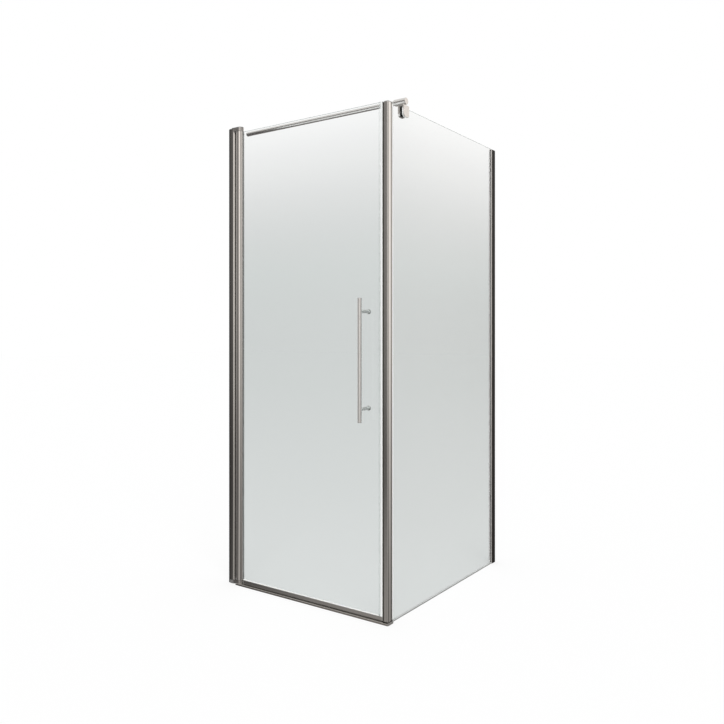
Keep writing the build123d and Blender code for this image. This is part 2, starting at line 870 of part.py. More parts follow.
def make_handle_end_caps():
    """The two caps in the ends of the grip."""
    low = post_rod(handle_x, handle_y, handle_bar_radius, (handle_z[0], handle_z[0] + handle_end_cap))
    high = post_rod(handle_x, handle_y, handle_bar_radius, (handle_z[1] - handle_end_cap, handle_z[1]))
    low = fillet(low.edges().group_by(Axis.Z)[0], handle_end_round)
    high = fillet(high.edges().group_by(Axis.Z)[-1], handle_end_round)
    bore = handle_bar_radius - handle_bar_wall - seat_gap
    low_z = (handle_z[0] + handle_end_cap, handle_z[0] + handle_end_cap + handle_end_spigot)
    high_z = (handle_z[1] - handle_end_cap - handle_end_spigot, handle_z[1] - handle_end_cap)
    low += post_rod(handle_x, handle_y, bore, low_z)
    high += post_rod(handle_x, handle_y, bore, high_z)
    return group([low, high])


standoff_back = pane_front - handle_washer
stud_front = standoff_back - handle_stud_depth
stud_back = pane_back + handle_washer + cap_nut_depth


def make_handle_standoffs():
    """The two round standoffs between the grip and the glass."""
    standoffs = []
    for z in handle_heights:
        body = rod_y(standoff_radius, handle_x, (handle_y, standoff_back), z)
        body -= post_rod(handle_x, handle_y, handle_bar_radius + seat_gap / 2, about(z, saddle_cut_height))
        hole = (stud_front - end_gap, standoff_back)
        body -= rod_y(handle_stud_radius + pin_gap, handle_x, hole, z)
        standoffs.append(body)
    return group(standoffs)


def make_handle_studs():
    """The studs through the glass."""
    span = (stud_front, stud_back - end_gap)
    return group(rod_y(handle_stud_radius, handle_x, span, z) for z in handle_heights)


def ring_y(outer, inner, y, z):
    """A flat ring on a handle stud."""
    return rod_y(outer, handle_x, y, z) - rod_y(inner, handle_x, y, z)


def make_handle_washers():
    """The soft washers on both faces of the glass."""
    rings = []
    for z in handle_heights:
        for y in ((standoff_back, pane_front), (pane_back, pane_back + handle_washer)):
            rings.append(ring_y(standoff_radius, handle_stud_radius + pin_gap, y, z))
    return group(rings)


def make_handle_sleeves():
    """The sleeves that keep the studs off the drilled glass."""
    outer = handle_hole_radius - seat_gap
    inner = handle_stud_radius + pin_gap
    return group(ring_y(outer, inner, (pane_front, pane_back), z) for z in handle_heights)


def make_handle_cap_nuts():
    """The round nuts on the shower side."""
    nuts = []
    front = pane_back + handle_washer
    for z in handle_heights:
        nut = rod_y(cap_nut_radius, handle_x, (front, front + cap_nut_length), z)
        nut = fillet(nut.edges().group_by(Axis.Y)[-1], cap_nut_round)
        nut -= rod_y(handle_stud_radius + pin_gap, handle_x, (front, stud_back), z)
        nuts.append(nut)
    return group(nuts)


brace_start = wall_x + plug_flange
brace_end = corner_x - barrel_bore_end - end_gap
barrel_grub = corner_x - barrel_grub_x
plug_grub = wall_x + plug_grub_x
brace_under = brace_height - brace_radius
plug_grub_top = brace_under + plug_grub_length
barrel_grub_z = (brace_height - barrel_radius + grub_proud, brace_under - seat_gap)


def grub_up(radius, x, z):
    """A small screw pressed up along Z under the brace bar."""
    return post_rod(x, brace_y, radius, z)


def make_brace_bar():
    """The tube over the door."""
    bar = rod_x(brace_radius, (brace_start, brace_end), brace_y, brace_height)
    bar -= rod_x(brace_radius - brace_wall, (brace_start, brace_end), brace_y, brace_height)
    hole = (brace_under, brace_height)
    return bar - grub_up(grub_small_radius + pin_gap, plug_grub, hole)


def make_brace_wall_plug():
    """The plug on the hinge wall that the tube slides over."""
    plug = rod_x(brace_radius, (wall_x, brace_start), brace_y, brace_height)
    spigot_radius = brace_radius - brace_wall - slip_gap
    plug += rod_x(spigot_radius, (brace_start, brace_start + plug_spigot), brace_y, brace_height)
    plug -= rod_x(plug_screw_radius, (wall_x, brace_start + plug_spigot), brace_y, brace_height)
    hole = (brace_under, plug_grub_top + seat_gap)
    return plug - grub_up(grub_small_radius + pin_gap, plug_grub, hole)


def make_brace_barrel():
    """The round socket on the clamp that takes the tube's end."""
    barrel = rod_x(barrel_radius, (barrel_left, barrel_right), brace_y, brace_height)
    barrel = fillet(barrel.edges().filter_by(GeomType.CIRCLE).group_by(Axis.X)[0], barrel_edge)
    bore_end = corner_x - barrel_bore_end
    barrel -= rod_x(brace_radius + slip_gap, (barrel_left, bore_end), brace_y, brace_height)
    spigot = (barrel_right - end_cap_spigot - end_gap, barrel_right)
    barrel -= rod_x(end_cap_spigot_radius + slip_gap, spigot, brace_y, brace_height)
    stud = (brace_height - barrel_radius, brace_height - barrel_radius + stud_into_barrel + end_gap)
    barrel -= post_rod(side_mid, brace_y, stud_radius + pin_gap, stud)
    hole = (brace_height - barrel_radius, brace_height)
    return barrel - grub_up(grub_small_radius + pin_gap, barrel_grub, hole)


def make_brace_end_cap():
    """The disc that closes the barrel's outer end."""
    cap = rod_x(barrel_radius, (barrel_right, corner_x + clamp_proud), brace_y, brace_height)
    cap = fillet(cap.edges().group_by(Axis.X)[-1], barrel_edge)
    spigot = (barrel_right - end_cap_spigot, barrel_right)
    return cap + rod_x(end_cap_spigot_radius, spigot, brace_y, brace_height)


def make_brace_clamp_neck():
    """The turned neck and stud between the barrel and the fork."""
    neck = post_rod(side_mid, brace_y, neck_radius, (fork_top, brace_height))
    neck -= rod_x(barrel_radius + seat_gap, (barrel_left, barrel_right), brace_y, brace_height)
    neck = neck.solids().sort_by(Axis.Z)[0]
    stud_z = (fork_top - stud_into_fork, brace_height - barrel_radius + stud_into_barrel)
    return neck + post_rod(side_mid, brace_y, stud_radius, stud_z)


fork_inner = side_inner - pad_thickness - seat_gap - fork_inner_cheek
fork_outer = corner_x + clamp_proud


def fork_blank(x, y_width, z, radius):
    """A slab across X with its two lower corners rounded."""
    slab = block(x, about(brace_y, y_width), z)
    lower = slab.edges().filter_by(Axis.X).group_by(Axis.Z)[0]
    return fillet(lower, radius)


def make_brace_clamp_fork():
    """The fork that sits over the top edge of the side pane."""
    fork = fork_blank((fork_inner, fork_outer), fork_width, (fork_bottom, fork_top), fork_corner_radius)
    outer_edges = fork.edges().group_by(Axis.X)[-1]
    fork = fillet(outer_edges, fork_edge)
    gap_x = (side_inner - pad_thickness - seat_gap, side_outer + pad_thickness + seat_gap)
    gap_z = (fork_bottom, side_glass_top + seat_gap)
    fork -= block(gap_x, about(brace_y, fork_width), gap_z)
    stud = (fork_top - stud_into_fork - end_gap, fork_top)
    fork -= post_rod(side_mid, brace_y, stud_radius + pin_gap, stud)
    for side in (-1, 1):
        way = (fork_inner, gap_x[0])
        fork -= rod_x(grub_radius + pin_gap, way, brace_y + side * fork_grub_spread, fork_grub_height)
    return fork


def make_brace_clamp_pads():
    """The clear pads between the fork and the glass."""
    width = fork_width - 2 * pad_margin
    z = (fork_bottom + pad_margin, side_glass_top)
    inner = fork_blank((side_inner - pad_thickness, side_inner), width, z, pad_corner_radius)
    outer = fork_blank((side_outer, side_outer + pad_thickness), width, z, pad_corner_radius)
    return group([inner, outer])


def make_brace_grub_screws():
    """The screws that grip the glass, the tube and the wall plug."""
    screws = []
    for side in (-1, 1):
        x = (fork_inner - grub_proud, side_inner - pad_thickness - seat_gap)
        screws.append(rod_x(grub_radius, x, brace_y + side * fork_grub_spread, fork_grub_height))
    screws.append(grub_up(grub_small_radius, barrel_grub, barrel_grub_z))
    plug_z = (brace_under, plug_grub_top)
    screws.append(grub_up(grub_small_radius, plug_grub, plug_z))
    return group(screws)


pieces = {
    "hinge_wall_channel": make_hinge_wall_channel(),
    "hinge_expander": make_hinge_expander(),
    "hinge_top_cap": make_hinge_top_cap(),
    "hinge_base_shoe": make_hinge_base_shoe(),
    "hinge_lock_screws": make_hinge_lock_screws(),
    "hinge_gap_seal": make_hinge_gap_seal(),
    "top_pivot_block": make_pivot_block(block_heights[1], top_pin),
    "bottom_pivot_block": make_pivot_block(block_heights[0], bottom_pin),
    "pivot_pins": make_pivot_pins(),
    "thrust_washers": make_thrust_washers(),
    "pivot_block_screws": make_pivot_block_screws(),
    "threshold_rail": make_threshold_rail(),
    "threshold_left_cap": make_threshold_left_cap(),
    "threshold_right_cap": make_threshold_right_cap(),
    "corner_post": make_corner_post(),
    "post_top_cap": make_post_top_cap(),
    "post_bottom_cap": make_post_bottom_cap(),
    "post_magnet_seal": make_post_magnet_seal(),
    "post_magnet_core": make_post_magnet_core(),
    "post_glazing_gaskets": make_post_glazing_gaskets(),
    "side_glass": make_side_glass(),
    "side_bottom_seal": make_side_bottom_seal(),
    "side_wall_channel": make_side_wall_channel(),
    "side_adjust_profile": make_side_adjust_profile(),
    "side_glazing_gaskets": make_side_glazing_gaskets(),
    "side_top_cap": make_side_top_cap(),
    "side_lock_screws": make_side_lock_screws(),
    "brace_bar": make_brace_bar(),
    "brace_wall_plug": make_brace_wall_plug(),
    "brace_barrel": make_brace_barrel(),
    "brace_end_cap": make_brace_end_cap(),
    "brace_clamp_neck": make_brace_clamp_neck(),
    "brace_clamp_fork": make_brace_clamp_fork(),
    "brace_clamp_pads": make_brace_clamp_pads(),
    "brace_grub_screws": make_brace_grub_screws(),
    "door_glass": make_door_glass(),
    "door_stile": make_door_stile(),
    "stile_gaskets": make_stile_gaskets(),
    "stile_bottom_plug": make_stile_plug((stile_bottom, stile_bottom + plug_height), bottom_bush),
    "stile_top_plug": make_stile_plug((stile_top - plug_height, stile_top), top_bush),
    "pivot_bushes": make_pivot_bushes(),
    "door_magnet_seal": make_door_magnet_seal(),
    "door_magnet_core": make_door_magnet_core(),
    "door_bottom_rail": make_door_bottom_rail(),
    "rail_gasket": make_rail_gasket(),
    "rail_end_caps": make_rail_end_caps(),
    "door_drip_seal": make_door_drip_seal(),
    "handle_bar": make_handle_bar(),
    "handle_end_caps": make_handle_end_caps(),
    "handle_standoffs": make_handle_standoffs(),
    "handle_studs": make_handle_studs(),
    "handle_washers": make_handle_washers(),
    "handle_sleeves": make_handle_sleeves(),
    "handle_cap_nuts": make_handle_cap_nuts(),
}

os.makedirs("parts", exist_ok=True)
for name, shape in pieces.items():
    export_step(shape, f"parts/{name}.step")
    print(name, "written")
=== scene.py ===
# %% [markdown]
# # A corner shower enclosure
#
# This lesson dresses the CAD model of a corner shower enclosure: a hinged glass door, a corner post
# and a fixed glass side panel, with a brace bar above. The CAD solids hold the true sizes and
# places. Blender adds rounded edges, turned parts, screws with threads and recesses, and a finish
# for every surface.
#
# Before each step a few sentences say what the real piece is, how it could be made, and why it is
# made this way.

# %% Load the frame
import json
import math

import bmesh
import bpy
from mathutils import Matrix, Vector

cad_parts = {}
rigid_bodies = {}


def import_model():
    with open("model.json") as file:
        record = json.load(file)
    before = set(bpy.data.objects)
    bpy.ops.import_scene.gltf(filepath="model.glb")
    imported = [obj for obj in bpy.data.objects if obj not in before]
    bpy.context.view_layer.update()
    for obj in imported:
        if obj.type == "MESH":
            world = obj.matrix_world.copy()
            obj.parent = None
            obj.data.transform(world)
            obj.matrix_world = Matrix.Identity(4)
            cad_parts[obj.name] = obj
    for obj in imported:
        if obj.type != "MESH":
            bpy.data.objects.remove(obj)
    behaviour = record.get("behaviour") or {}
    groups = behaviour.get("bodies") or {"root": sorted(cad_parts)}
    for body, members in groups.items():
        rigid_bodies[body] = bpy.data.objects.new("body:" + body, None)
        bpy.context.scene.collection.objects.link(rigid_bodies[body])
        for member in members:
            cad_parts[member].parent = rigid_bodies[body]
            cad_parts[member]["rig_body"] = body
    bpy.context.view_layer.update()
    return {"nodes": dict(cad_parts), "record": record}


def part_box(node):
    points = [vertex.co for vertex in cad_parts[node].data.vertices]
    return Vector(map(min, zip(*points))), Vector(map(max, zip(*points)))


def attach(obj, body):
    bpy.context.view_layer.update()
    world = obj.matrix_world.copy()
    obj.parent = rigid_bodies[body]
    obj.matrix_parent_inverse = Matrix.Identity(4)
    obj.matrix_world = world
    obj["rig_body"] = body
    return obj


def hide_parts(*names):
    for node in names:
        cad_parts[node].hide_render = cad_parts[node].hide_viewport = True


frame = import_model()
MM = 0.001
print("nodes:", len(frame["nodes"]))

# %% [markdown]
# ## The camera
#
# The photograph was taken level, about a metre above the floor, turned 35 degrees from the door. A
# camera could be moved by hand until the picture looks right. But the directions in which the
# object's edges run together give its turn and its lens, and the object's size gives its place. A
# level camera keeps upright edges upright. The horizon lies a little above the middle of the
# picture, so the lens is shifted slightly instead of tilting the camera.

# %% Camera
IMAGE_WIDTH = 724
FOCAL_PIXELS = 735.55
SENSOR_MM = 36.0
HORIZON_ABOVE_MIDDLE = 28.56
LEVEL = math.radians(90)
CAMERA_TURN = math.radians(35.076)
CAMERA_PLACE = (1.85533, -2.66451, 1.05827)

camera_data = bpy.data.cameras.new("camera")
camera_data.sensor_width = SENSOR_MM
camera_data.lens = FOCAL_PIXELS / IMAGE_WIDTH * SENSOR_MM
camera_data.shift_y = -HORIZON_ABOVE_MIDDLE / IMAGE_WIDTH
camera = bpy.data.objects.new("camera", camera_data)
camera.location = CAMERA_PLACE
camera.rotation_euler = (LEVEL, 0, CAMERA_TURN)
bpy.context.scene.collection.objects.link(camera)
bpy.context.scene.camera = camera
bpy.context.scene.view_settings.view_transform = "Standard"
print("lens", round(camera_data.lens, 2), "mm, shift", round(camera_data.shift_y, 4))

# %% [markdown]
# ## The studio
#
# Polished metal has little colour of its own: it shows the room. The studio could be built from
# panels round the object, but each panel would also show in other views. So the world carries it.
# It gives white to the camera and through glass, a dim studio with a few tall windows to mirror
# rays, and one even light to everything else.
#
# A mirror ray's direction is turned into two numbers. The compass runs once round the horizon, and
# the height runs from straight down to straight up. A colour ramp reads each one, and the two are
# multiplied.

# %% Small helpers for node trees
def add_node(tree, kind, **values):
    """A new node with its properties and input values set by name."""
    node = tree.nodes.new(kind)
    for name, value in values.items():
        if hasattr(node, name):
            setattr(node, name, value)
        else:
            node.inputs[name.replace("_", " ")].default_value = value
    return node


def maths(tree, operation, first, second=0.0, third=0.0):
    """A Math node; each input is a number or a socket."""
    node = add_node(tree, "ShaderNodeMath", operation=operation)
    for socket, value in zip(node.inputs, (first, second, third)):
        if isinstance(value, (int, float)):
            socket.default_value = value
        else:
            tree.links.new(value, socket)
    return node.outputs[0]


def ramp(tree, factor, stops):
    """A Color Ramp; each stop is a position and a grey or a colour."""
    node = add_node(tree, "ShaderNodeValToRGB")
    points = node.color_ramp.elements
    points.remove(points[1])
    points[0].position = stops[0][0]
    for index, (position, value) in enumerate(stops):
        point = points.new(position) if index else points[0]
        point.color = (*value, 1) if isinstance(value, tuple) else (value, value, value, 1)
    tree.links.new(factor, node.inputs[0])
    return node.outputs[0]


def mixed(tree, kind, factor, first, second):
    """A colour mix; inputs 0, 6 and 7 of the node are its factor and its two colours."""
    node = add_node(tree, "ShaderNodeMix", data_type="RGBA", blend_type=kind)
    for index, value in ((0, factor), (6, first), (7, second)):
        socket = node.inputs[index]
        if isinstance(value, bpy.types.NodeSocket):
            tree.links.new(value, socket)
        else:
            socket.default_value = value
    return node.outputs[2]


def mixed_shader(tree, share, first, second):
    """A Mix Shader of two shader nodes."""
    node = add_node(tree, "ShaderNodeMixShader")
    tree.links.new(share, node.inputs[0])
    tree.links.new(first.outputs[0], node.inputs[1])
    tree.links.new(second.outputs[0], node.inputs[2])
    return node


def any_ray(tree, path, *kinds):
    """One for a ray of any of the kinds named, and zero for the rest."""
    share = path.outputs[kinds[0]]
    for kind in kinds[1:]:
        share = maths(tree, "MAXIMUM", share, path.outputs[kind])
    return share


print("node helpers ready")

# %% What the studio looks like
# Each pair is an angle in degrees and a brightness. The compass is zero straight in front of the
# door and grows toward the side panel. The height is zero at the horizon and 90 straight up.
STUDIO_ROUND = (
    (-180, 0.75), (-140, 0.7), (-80, 0.5), (-62, 0.28), (-52, 0.1), (-43, 0.075), (-36, 0.17),
    (-29, 0.22), (-24, 0.4), (10, 0.42), (16, 1.3), (24, 1.3), (30, 0.55), (47, 0.55), (53, 0.28),
    (61, 0.28), (67, 0.58), (88, 0.55), (96, 0.34), (104, 0.08), (134, 0.06), (141, 0.85),
    (150, 0.95), (157, 0.62), (161, 0.3), (167, 0.34), (174, 0.7), (180, 0.75),
)
STUDIO_HEIGHT = (
    (-90, 0.2), (-25, 0.26), (-19, 0.34), (-13, 0.5), (-9, 0.62), (0, 0.99), (6, 1.1),
    (18, 1.24), (30, 1.4), (90, 1.4),
)
STUDIO_WARMTH = (1.0, 0.935, 0.88, 1.0)
# light that the floor in front of the door throws back, round the compass and below the horizon
BOUNCE_ROUND = ((-46, 0.0), (-39, 0.23), (5, 0.23), (30, 0.0))
BOUNCE_BELOW = ((-90, 1.0), (-20, 1.0), (-11, 0.0))
# one even ceiling takes over from the windows high up
CEILING = (0.82, 0.81, 0.79)
CEILING_SHARE = ((-90, 0.0), (20, 0.0), (38, 1.0), (90, 1.0))
print("studio windows:", sum(1 for _, brightness in STUDIO_ROUND if brightness > 1))

# %% A mirror ray's direction as two numbers
world = bpy.data.worlds.new("studio")
bpy.context.scene.world = world
world.use_nodes = True
tree = world.node_tree
tree.nodes.clear()
direction = add_node(tree, "ShaderNodeSeparateXYZ")
tree.links.new(add_node(tree, "ShaderNodeTexCoord").outputs["Generated"], direction.inputs[0])
forward = maths(tree, "MULTIPLY", direction.outputs["Y"], -1.0)
compass = maths(tree, "ARCTAN2", direction.outputs["X"], forward)
turn = maths(tree, "MULTIPLY_ADD", compass, 1 / (2 * math.pi), 0.5)
height = maths(tree, "MULTIPLY_ADD", direction.outputs["Z"], 0.5, 0.5)
print("direction nodes:", len(tree.nodes))

# %% The studio from its ramps
# A ramp's colours end at one. So each brightness is divided by a gain, and the light's strength
# brings it back.
RAMP_GAIN = 1.5
FULL_GAIN = RAMP_GAIN ** 2


def round_ramp(stops, gain):
    """A ramp round the compass, from angles in degrees."""
    return ramp(tree, turn, [((degrees + 180) / 360, value / gain) for degrees, value in stops])


def height_ramp(stops, gain=1.0):
    """A ramp from straight down to straight up; the height of a ray is the sine of its angle."""
    heights = [(math.sin(math.radians(degrees)) + 1) / 2 for degrees, _ in stops]
    return ramp(tree, height, [(place, value / gain) for place, (_, value) in zip(heights, stops)])


around = round_ramp(STUDIO_ROUND, RAMP_GAIN)
windows = mixed(tree, "MULTIPLY", 1.0, around, height_ramp(STUDIO_HEIGHT, RAMP_GAIN))
around = round_ramp(BOUNCE_ROUND, FULL_GAIN)
bounce = mixed(tree, "MULTIPLY", 1.0, around, height_ramp(BOUNCE_BELOW))
studio = mixed(tree, "ADD", 1.0, windows, bounce)
studio = mixed(tree, "MULTIPLY", 1.0, studio, STUDIO_WARMTH)
ceiling = tuple(value / FULL_GAIN for value in CEILING) + (1.0,)
studio = mixed(tree, "MIX", height_ramp(CEILING_SHARE), studio, ceiling)
print("world nodes:", len(tree.nodes))

# %% Which ray sees what
WHITE = (1.0, 1.0, 1.0, 1.0)
ROOM_LIGHT = 0.95

room = add_node(tree, "ShaderNodeBackground", Color=WHITE, Strength=ROOM_LIGHT)
sheet = add_node(tree, "ShaderNodeBackground", Color=WHITE, Strength=1.0)
mirrored = add_node(tree, "ShaderNodeBackground", Strength=FULL_GAIN)
tree.links.new(studio, mirrored.inputs["Color"])
path = add_node(tree, "ShaderNodeLightPath")
seen = any_ray(tree, path, "Is Camera Ray", "Is Transmission Ray")
light = mixed_shader(tree, path.outputs["Is Glossy Ray"], room, mirrored)
light = mixed_shader(tree, seen, light, sheet)
world_out = add_node(tree, "ShaderNodeOutputWorld")
tree.links.new(light.outputs[0], world_out.inputs["Surface"])
print("world nodes in all:", len(tree.nodes))

# %% [markdown]
# ## Lamp and floor
#
# One broad sun gives the pale seals a soft bright side. A soft box would do the same, but a sun
# lights the whole height of the enclosure evenly. The floor is a white sheet. Most of its
# brightness is shown as it is, and the rest is real light on it, so that the object's shadow still
# falls there.

# %% Sun
SUN_STRENGTH = 2.0
SUN_SPREAD = math.radians(40)
SUN_TILT = math.radians(55)
SUN_TURN = math.radians(42)

sun_data = bpy.data.lights.new("sun", "SUN")
sun_data.energy = SUN_STRENGTH
sun_data.angle = SUN_SPREAD
sun = bpy.data.objects.new("sun", sun_data)
sun.rotation_euler = (SUN_TILT, 0, SUN_TURN)
bpy.context.scene.collection.objects.link(sun)
sun.visible_glossy = False
print("sun strength", sun_data.energy)

# %% Floor
FLOOR_SIZE = 60.0
FLOOR_COLOUR = (0.2, 0.2, 0.2, 1.0)
FLOOR_SHOWN = 0.735


def new_material(name):
    """A material with an empty tree and its output."""
    material = bpy.data.materials.new(name)
    material.use_nodes = True
    material.node_tree.nodes.clear()
    output = add_node(material.node_tree, "ShaderNodeOutputMaterial")
    return material, material.node_tree, output


floor_finish, tree, output = new_material("floor_sheet")
cloth = add_node(tree, "ShaderNodeBsdfDiffuse", Color=FLOOR_COLOUR)
shown = add_node(tree, "ShaderNodeEmission", Color=WHITE)
path = add_node(tree, "ShaderNodeLightPath")
seen = any_ray(tree, path, "Is Camera Ray", "Is Transmission Ray", "Is Glossy Ray")
tree.links.new(maths(tree, "MULTIPLY", seen, FLOOR_SHOWN), shown.inputs["Strength"])
both = add_node(tree, "ShaderNodeAddShader")
tree.links.new(cloth.outputs[0], both.inputs[0])
tree.links.new(shown.outputs[0], both.inputs[1])
tree.links.new(both.outputs[0], output.inputs["Surface"])

half = FLOOR_SIZE / 2
floor_mesh = bpy.data.meshes.new("floor")
corners = [(-half, -half, 0), (half, -half, 0), (half, half, 0), (-half, half, 0)]
floor_mesh.from_pydata(corners, [], [(0, 1, 2, 3)])
floor_mesh.materials.append(floor_finish)
floor = bpy.data.objects.new("floor", floor_mesh)
bpy.context.scene.collection.objects.link(floor)
floor.visible_glossy = False
print("floor", FLOOR_SIZE, "m wide")

# %% [markdown]
# ## Finishes for the metal
#
# The upright profiles are extruded aluminium, polished and anodised. An extrusion keeps faint die
# lines along its length. A picture of brushed metal could be wrapped round each profile, but noise
# needs no picture and no unwrapping: it is squeezed across the profile and stretched along it. The
# same pattern turned on its side serves the sill and the door's rail. The chrome of the handle's
# fittings is smoother, with faint clouding only.

# %% Patterns on object coordinates
UPRIGHT = (1.0, 1.0, 0.004)
ALONG_X = (0.004, 1.0, 1.0)
EVEN = (1.0, 1.0, 1.0)
NOISE_DETAIL = 2.0


def pattern(tree, stretch, noise):
    """Noise on object coordinates, stretched by a scale for each axis."""
    place = add_node(tree, "ShaderNodeTexCoord").outputs["Object"]
    mapping = add_node(tree, "ShaderNodeMapping", Scale=stretch)
    tree.links.new(place, mapping.inputs["Vector"])
    texture = add_node(tree, "ShaderNodeTexNoise", Scale=noise, Detail=NOISE_DETAIL)
    tree.links.new(mapping.outputs[0], texture.inputs["Vector"])
    return texture.outputs[0]


def place_along(tree, axis):
    """How far a point of the piece lies along an axis, in metres."""
    axes = add_node(tree, "ShaderNodeSeparateXYZ")
    tree.links.new(add_node(tree, "ShaderNodeTexCoord").outputs["Object"], axes.inputs[0])
    return axes.outputs[axis]


def clouded(tree, colour, noise, darkest):
    """A colour with slow clouding, whose darkest part is a share of it."""
    dark = tuple(value * darkest for value in colour) + (1.0,)
    return mixed(tree, "MIX", pattern(tree, EVEN, noise), dark, colour + (1.0,))


def rough_by(tree, shader, grain, limits):
    """Makes a shader's roughness follow a pattern between two limits."""
    node = add_node(tree, "ShaderNodeMapRange", To_Min=limits[0], To_Max=limits[1])
    tree.links.new(grain, node.inputs[0])
    tree.links.new(node.outputs[0], shader.inputs["Roughness"])


def raised_by(tree, shader, grain, strength, depth):
    """Gives a shader a shallow relief that follows a pattern."""
    relief = add_node(tree, "ShaderNodeBump", Strength=strength, Distance=depth)
    tree.links.new(grain, relief.inputs["Height"])
    tree.links.new(relief.outputs[0], shader.inputs["Normal"])


print("pattern helpers ready")

# %% Metal
METAL_CLOUDS = 9.0
METAL_DARKEST = 0.94
METAL_DEPTH = 0.0002
DIE_LINES = 900.0
DIE_RELIEF = 0.12


def metal(name, colour, rough, lines=EVEN, noise=DIE_LINES, relief=DIE_RELIEF, share=1.0):
    """Metal with noise in its roughness and relief; a share below one adds a milky haze."""
    material, tree, output = new_material(name)
    shader = add_node(tree, "ShaderNodeBsdfPrincipled", Metallic=share)
    tree.links.new(clouded(tree, colour, METAL_CLOUDS, METAL_DARKEST), shader.inputs["Base Color"])
    grain = pattern(tree, lines, noise)
    rough_by(tree, shader, grain, rough)
    raised_by(tree, shader, grain, relief, METAL_DEPTH)
    tree.links.new(shader.outputs[0], output.inputs["Surface"])
    return material


silver_upright = metal("silver_upright", (0.80, 0.795, 0.785), (0.09, 0.17), UPRIGHT)
silver_along = metal("silver_along", (0.80, 0.795, 0.785), (0.12, 0.22), ALONG_X)
silver_sill = metal("silver_sill", (0.56, 0.535, 0.51), (0.16, 0.26), ALONG_X)
# the hinge's wall channel is made near black, far darker than the other profiles
channel_dark = metal("channel_dark", (0.07, 0.066, 0.062), (0.2, 0.32), UPRIGHT)
satin_chrome = metal("satin_chrome", (0.95, 0.95, 0.94), (0.24, 0.34), UPRIGHT, share=0.86)
satin_clamp = metal("satin_clamp", (0.84, 0.83, 0.82), (0.2, 0.3), noise=700.0, relief=0.06)
chrome = metal("chrome", (0.83, 0.83, 0.825), (0.03, 0.07), noise=60.0, relief=0.02)
steel = metal("stainless", (0.62, 0.615, 0.60), (0.22, 0.36), noise=700.0, relief=0.1)
cast_satin = metal("cast_satin", (0.62, 0.61, 0.60), (0.25, 0.4), noise=1400.0, relief=0.25)
print("materials so far:", len(bpy.data.materials))

# %% [markdown]
# ## Finishes for rubber and plastic
#
# The seals are drawn from soft plastic, and the caps and the foot are moulded. One smooth grey
# would look like paint. So each has a fine grain in its roughness and relief. The dark ones are
# matt. The pale ones are cloudy: some light goes in and comes out again a little further on, which
# subsurface scattering gives.

# %% Plastics
PLASTIC_CLOUDS = 14.0
PLASTIC_DARKEST = 0.9
PLASTIC_DEPTH = 0.0001
ROUGH_LEAST = 0.85
ROUGH_MOST = 1.15
SCATTER_COLOUR = (1.0, 1.0, 0.9)
SCATTER_DEPTH = 0.002
DRAWN_GRAIN = 900.0
MOULDED_GRAIN = 1600.0
MATT_GRAIN = 1800.0


def plastic(name, colour, rough, grain_scale, relief, cloudy=0.0, coat=0.0, ior=None):
    """A moulded or drawn plastic with fine grain; cloudy lets light spread inside."""
    material, tree, output = new_material(name)
    shader = add_node(
        tree, "ShaderNodeBsdfPrincipled", Coat_Weight=coat, Subsurface_Weight=cloudy,
        Subsurface_Radius=SCATTER_COLOUR, Subsurface_Scale=SCATTER_DEPTH,
    )
    if ior:
        shader.inputs["IOR"].default_value = ior
    base = clouded(tree, colour, PLASTIC_CLOUDS, PLASTIC_DARKEST)
    tree.links.new(base, shader.inputs["Base Color"])
    grain = pattern(tree, EVEN, grain_scale)
    rough_by(tree, shader, grain, (rough * ROUGH_LEAST, rough * ROUGH_MOST))
    raised_by(tree, shader, grain, relief, PLASTIC_DEPTH)
    tree.links.new(shader.outputs[0], output.inputs["Surface"])
    return material


rubber_dark = plastic("rubber_dark", (0.012, 0.011, 0.010), 0.6, MATT_GRAIN, 0.3)
magnet_dark = plastic("magnet_dark", (0.045, 0.040, 0.034), 0.45, MATT_GRAIN, 0.2)
# the side wall channel is made near black, with little reflection, though it is a profile
channel_black = plastic("channel_black", (0.012, 0.011, 0.010), 0.45, 1400.0, 0.1, ior=1.25)
seal_white = plastic("seal_white", (0.90, 0.91, 0.90), 0.3, DRAWN_GRAIN, 0.1, cloudy=0.4)
# painted shade: the drip seal is made near black, which paints the shade in the gap between the
# door's rail and the sill
drip_seal_painted_shade = plastic("drip_seal_painted_shade", (0.06, 0.057, 0.053), 0.4, DRAWN_GRAIN, 0.1)
gasket_clear = plastic("gasket_clear", (0.66, 0.68, 0.67), 0.35, DRAWN_GRAIN, 0.1, cloudy=0.3)
gasket_grey = plastic("gasket_grey", (0.30, 0.305, 0.30), 0.35, DRAWN_GRAIN, 0.1, cloudy=0.2)
nylon = plastic("nylon", (0.78, 0.77, 0.74), 0.45, DRAWN_GRAIN, 0.15, cloudy=0.2)
cap_grey = plastic("cap_grey", (0.42, 0.41, 0.395), 0.35, MOULDED_GRAIN, 0.2)
cap_dark = plastic("cap_dark", (0.018, 0.017, 0.015), 0.4, MOULDED_GRAIN, 0.2)
cap_silver = plastic("cap_silver", (0.30, 0.295, 0.29), 0.3, MOULDED_GRAIN, 0.15, coat=0.3)
end_grey = plastic("end_grey", (0.20, 0.19, 0.18), 0.35, MOULDED_GRAIN, 0.2)
shoe_grey = plastic("shoe_grey", (0.20, 0.195, 0.19), 0.42, MOULDED_GRAIN, 0.2)
print("materials so far:", len(bpy.data.materials))

# %% [markdown]
# ## Seals in bands
#
# Three seals are drawn from two or three plastics at once. The door's magnet seal has a clear leg
# that grips the glass, a white body and a dark nose over the magnet. The side panel's gaskets have
# a pale soft lip in front and a darker body, and a pale band at their back is a painted highlight
# of the profile beside them. The side panel's foot seal has a pale soft lip and a darker body. Each
# could be cut into separate meshes, but the real ones are one strip, so the bands are painted by
# the place on the piece.

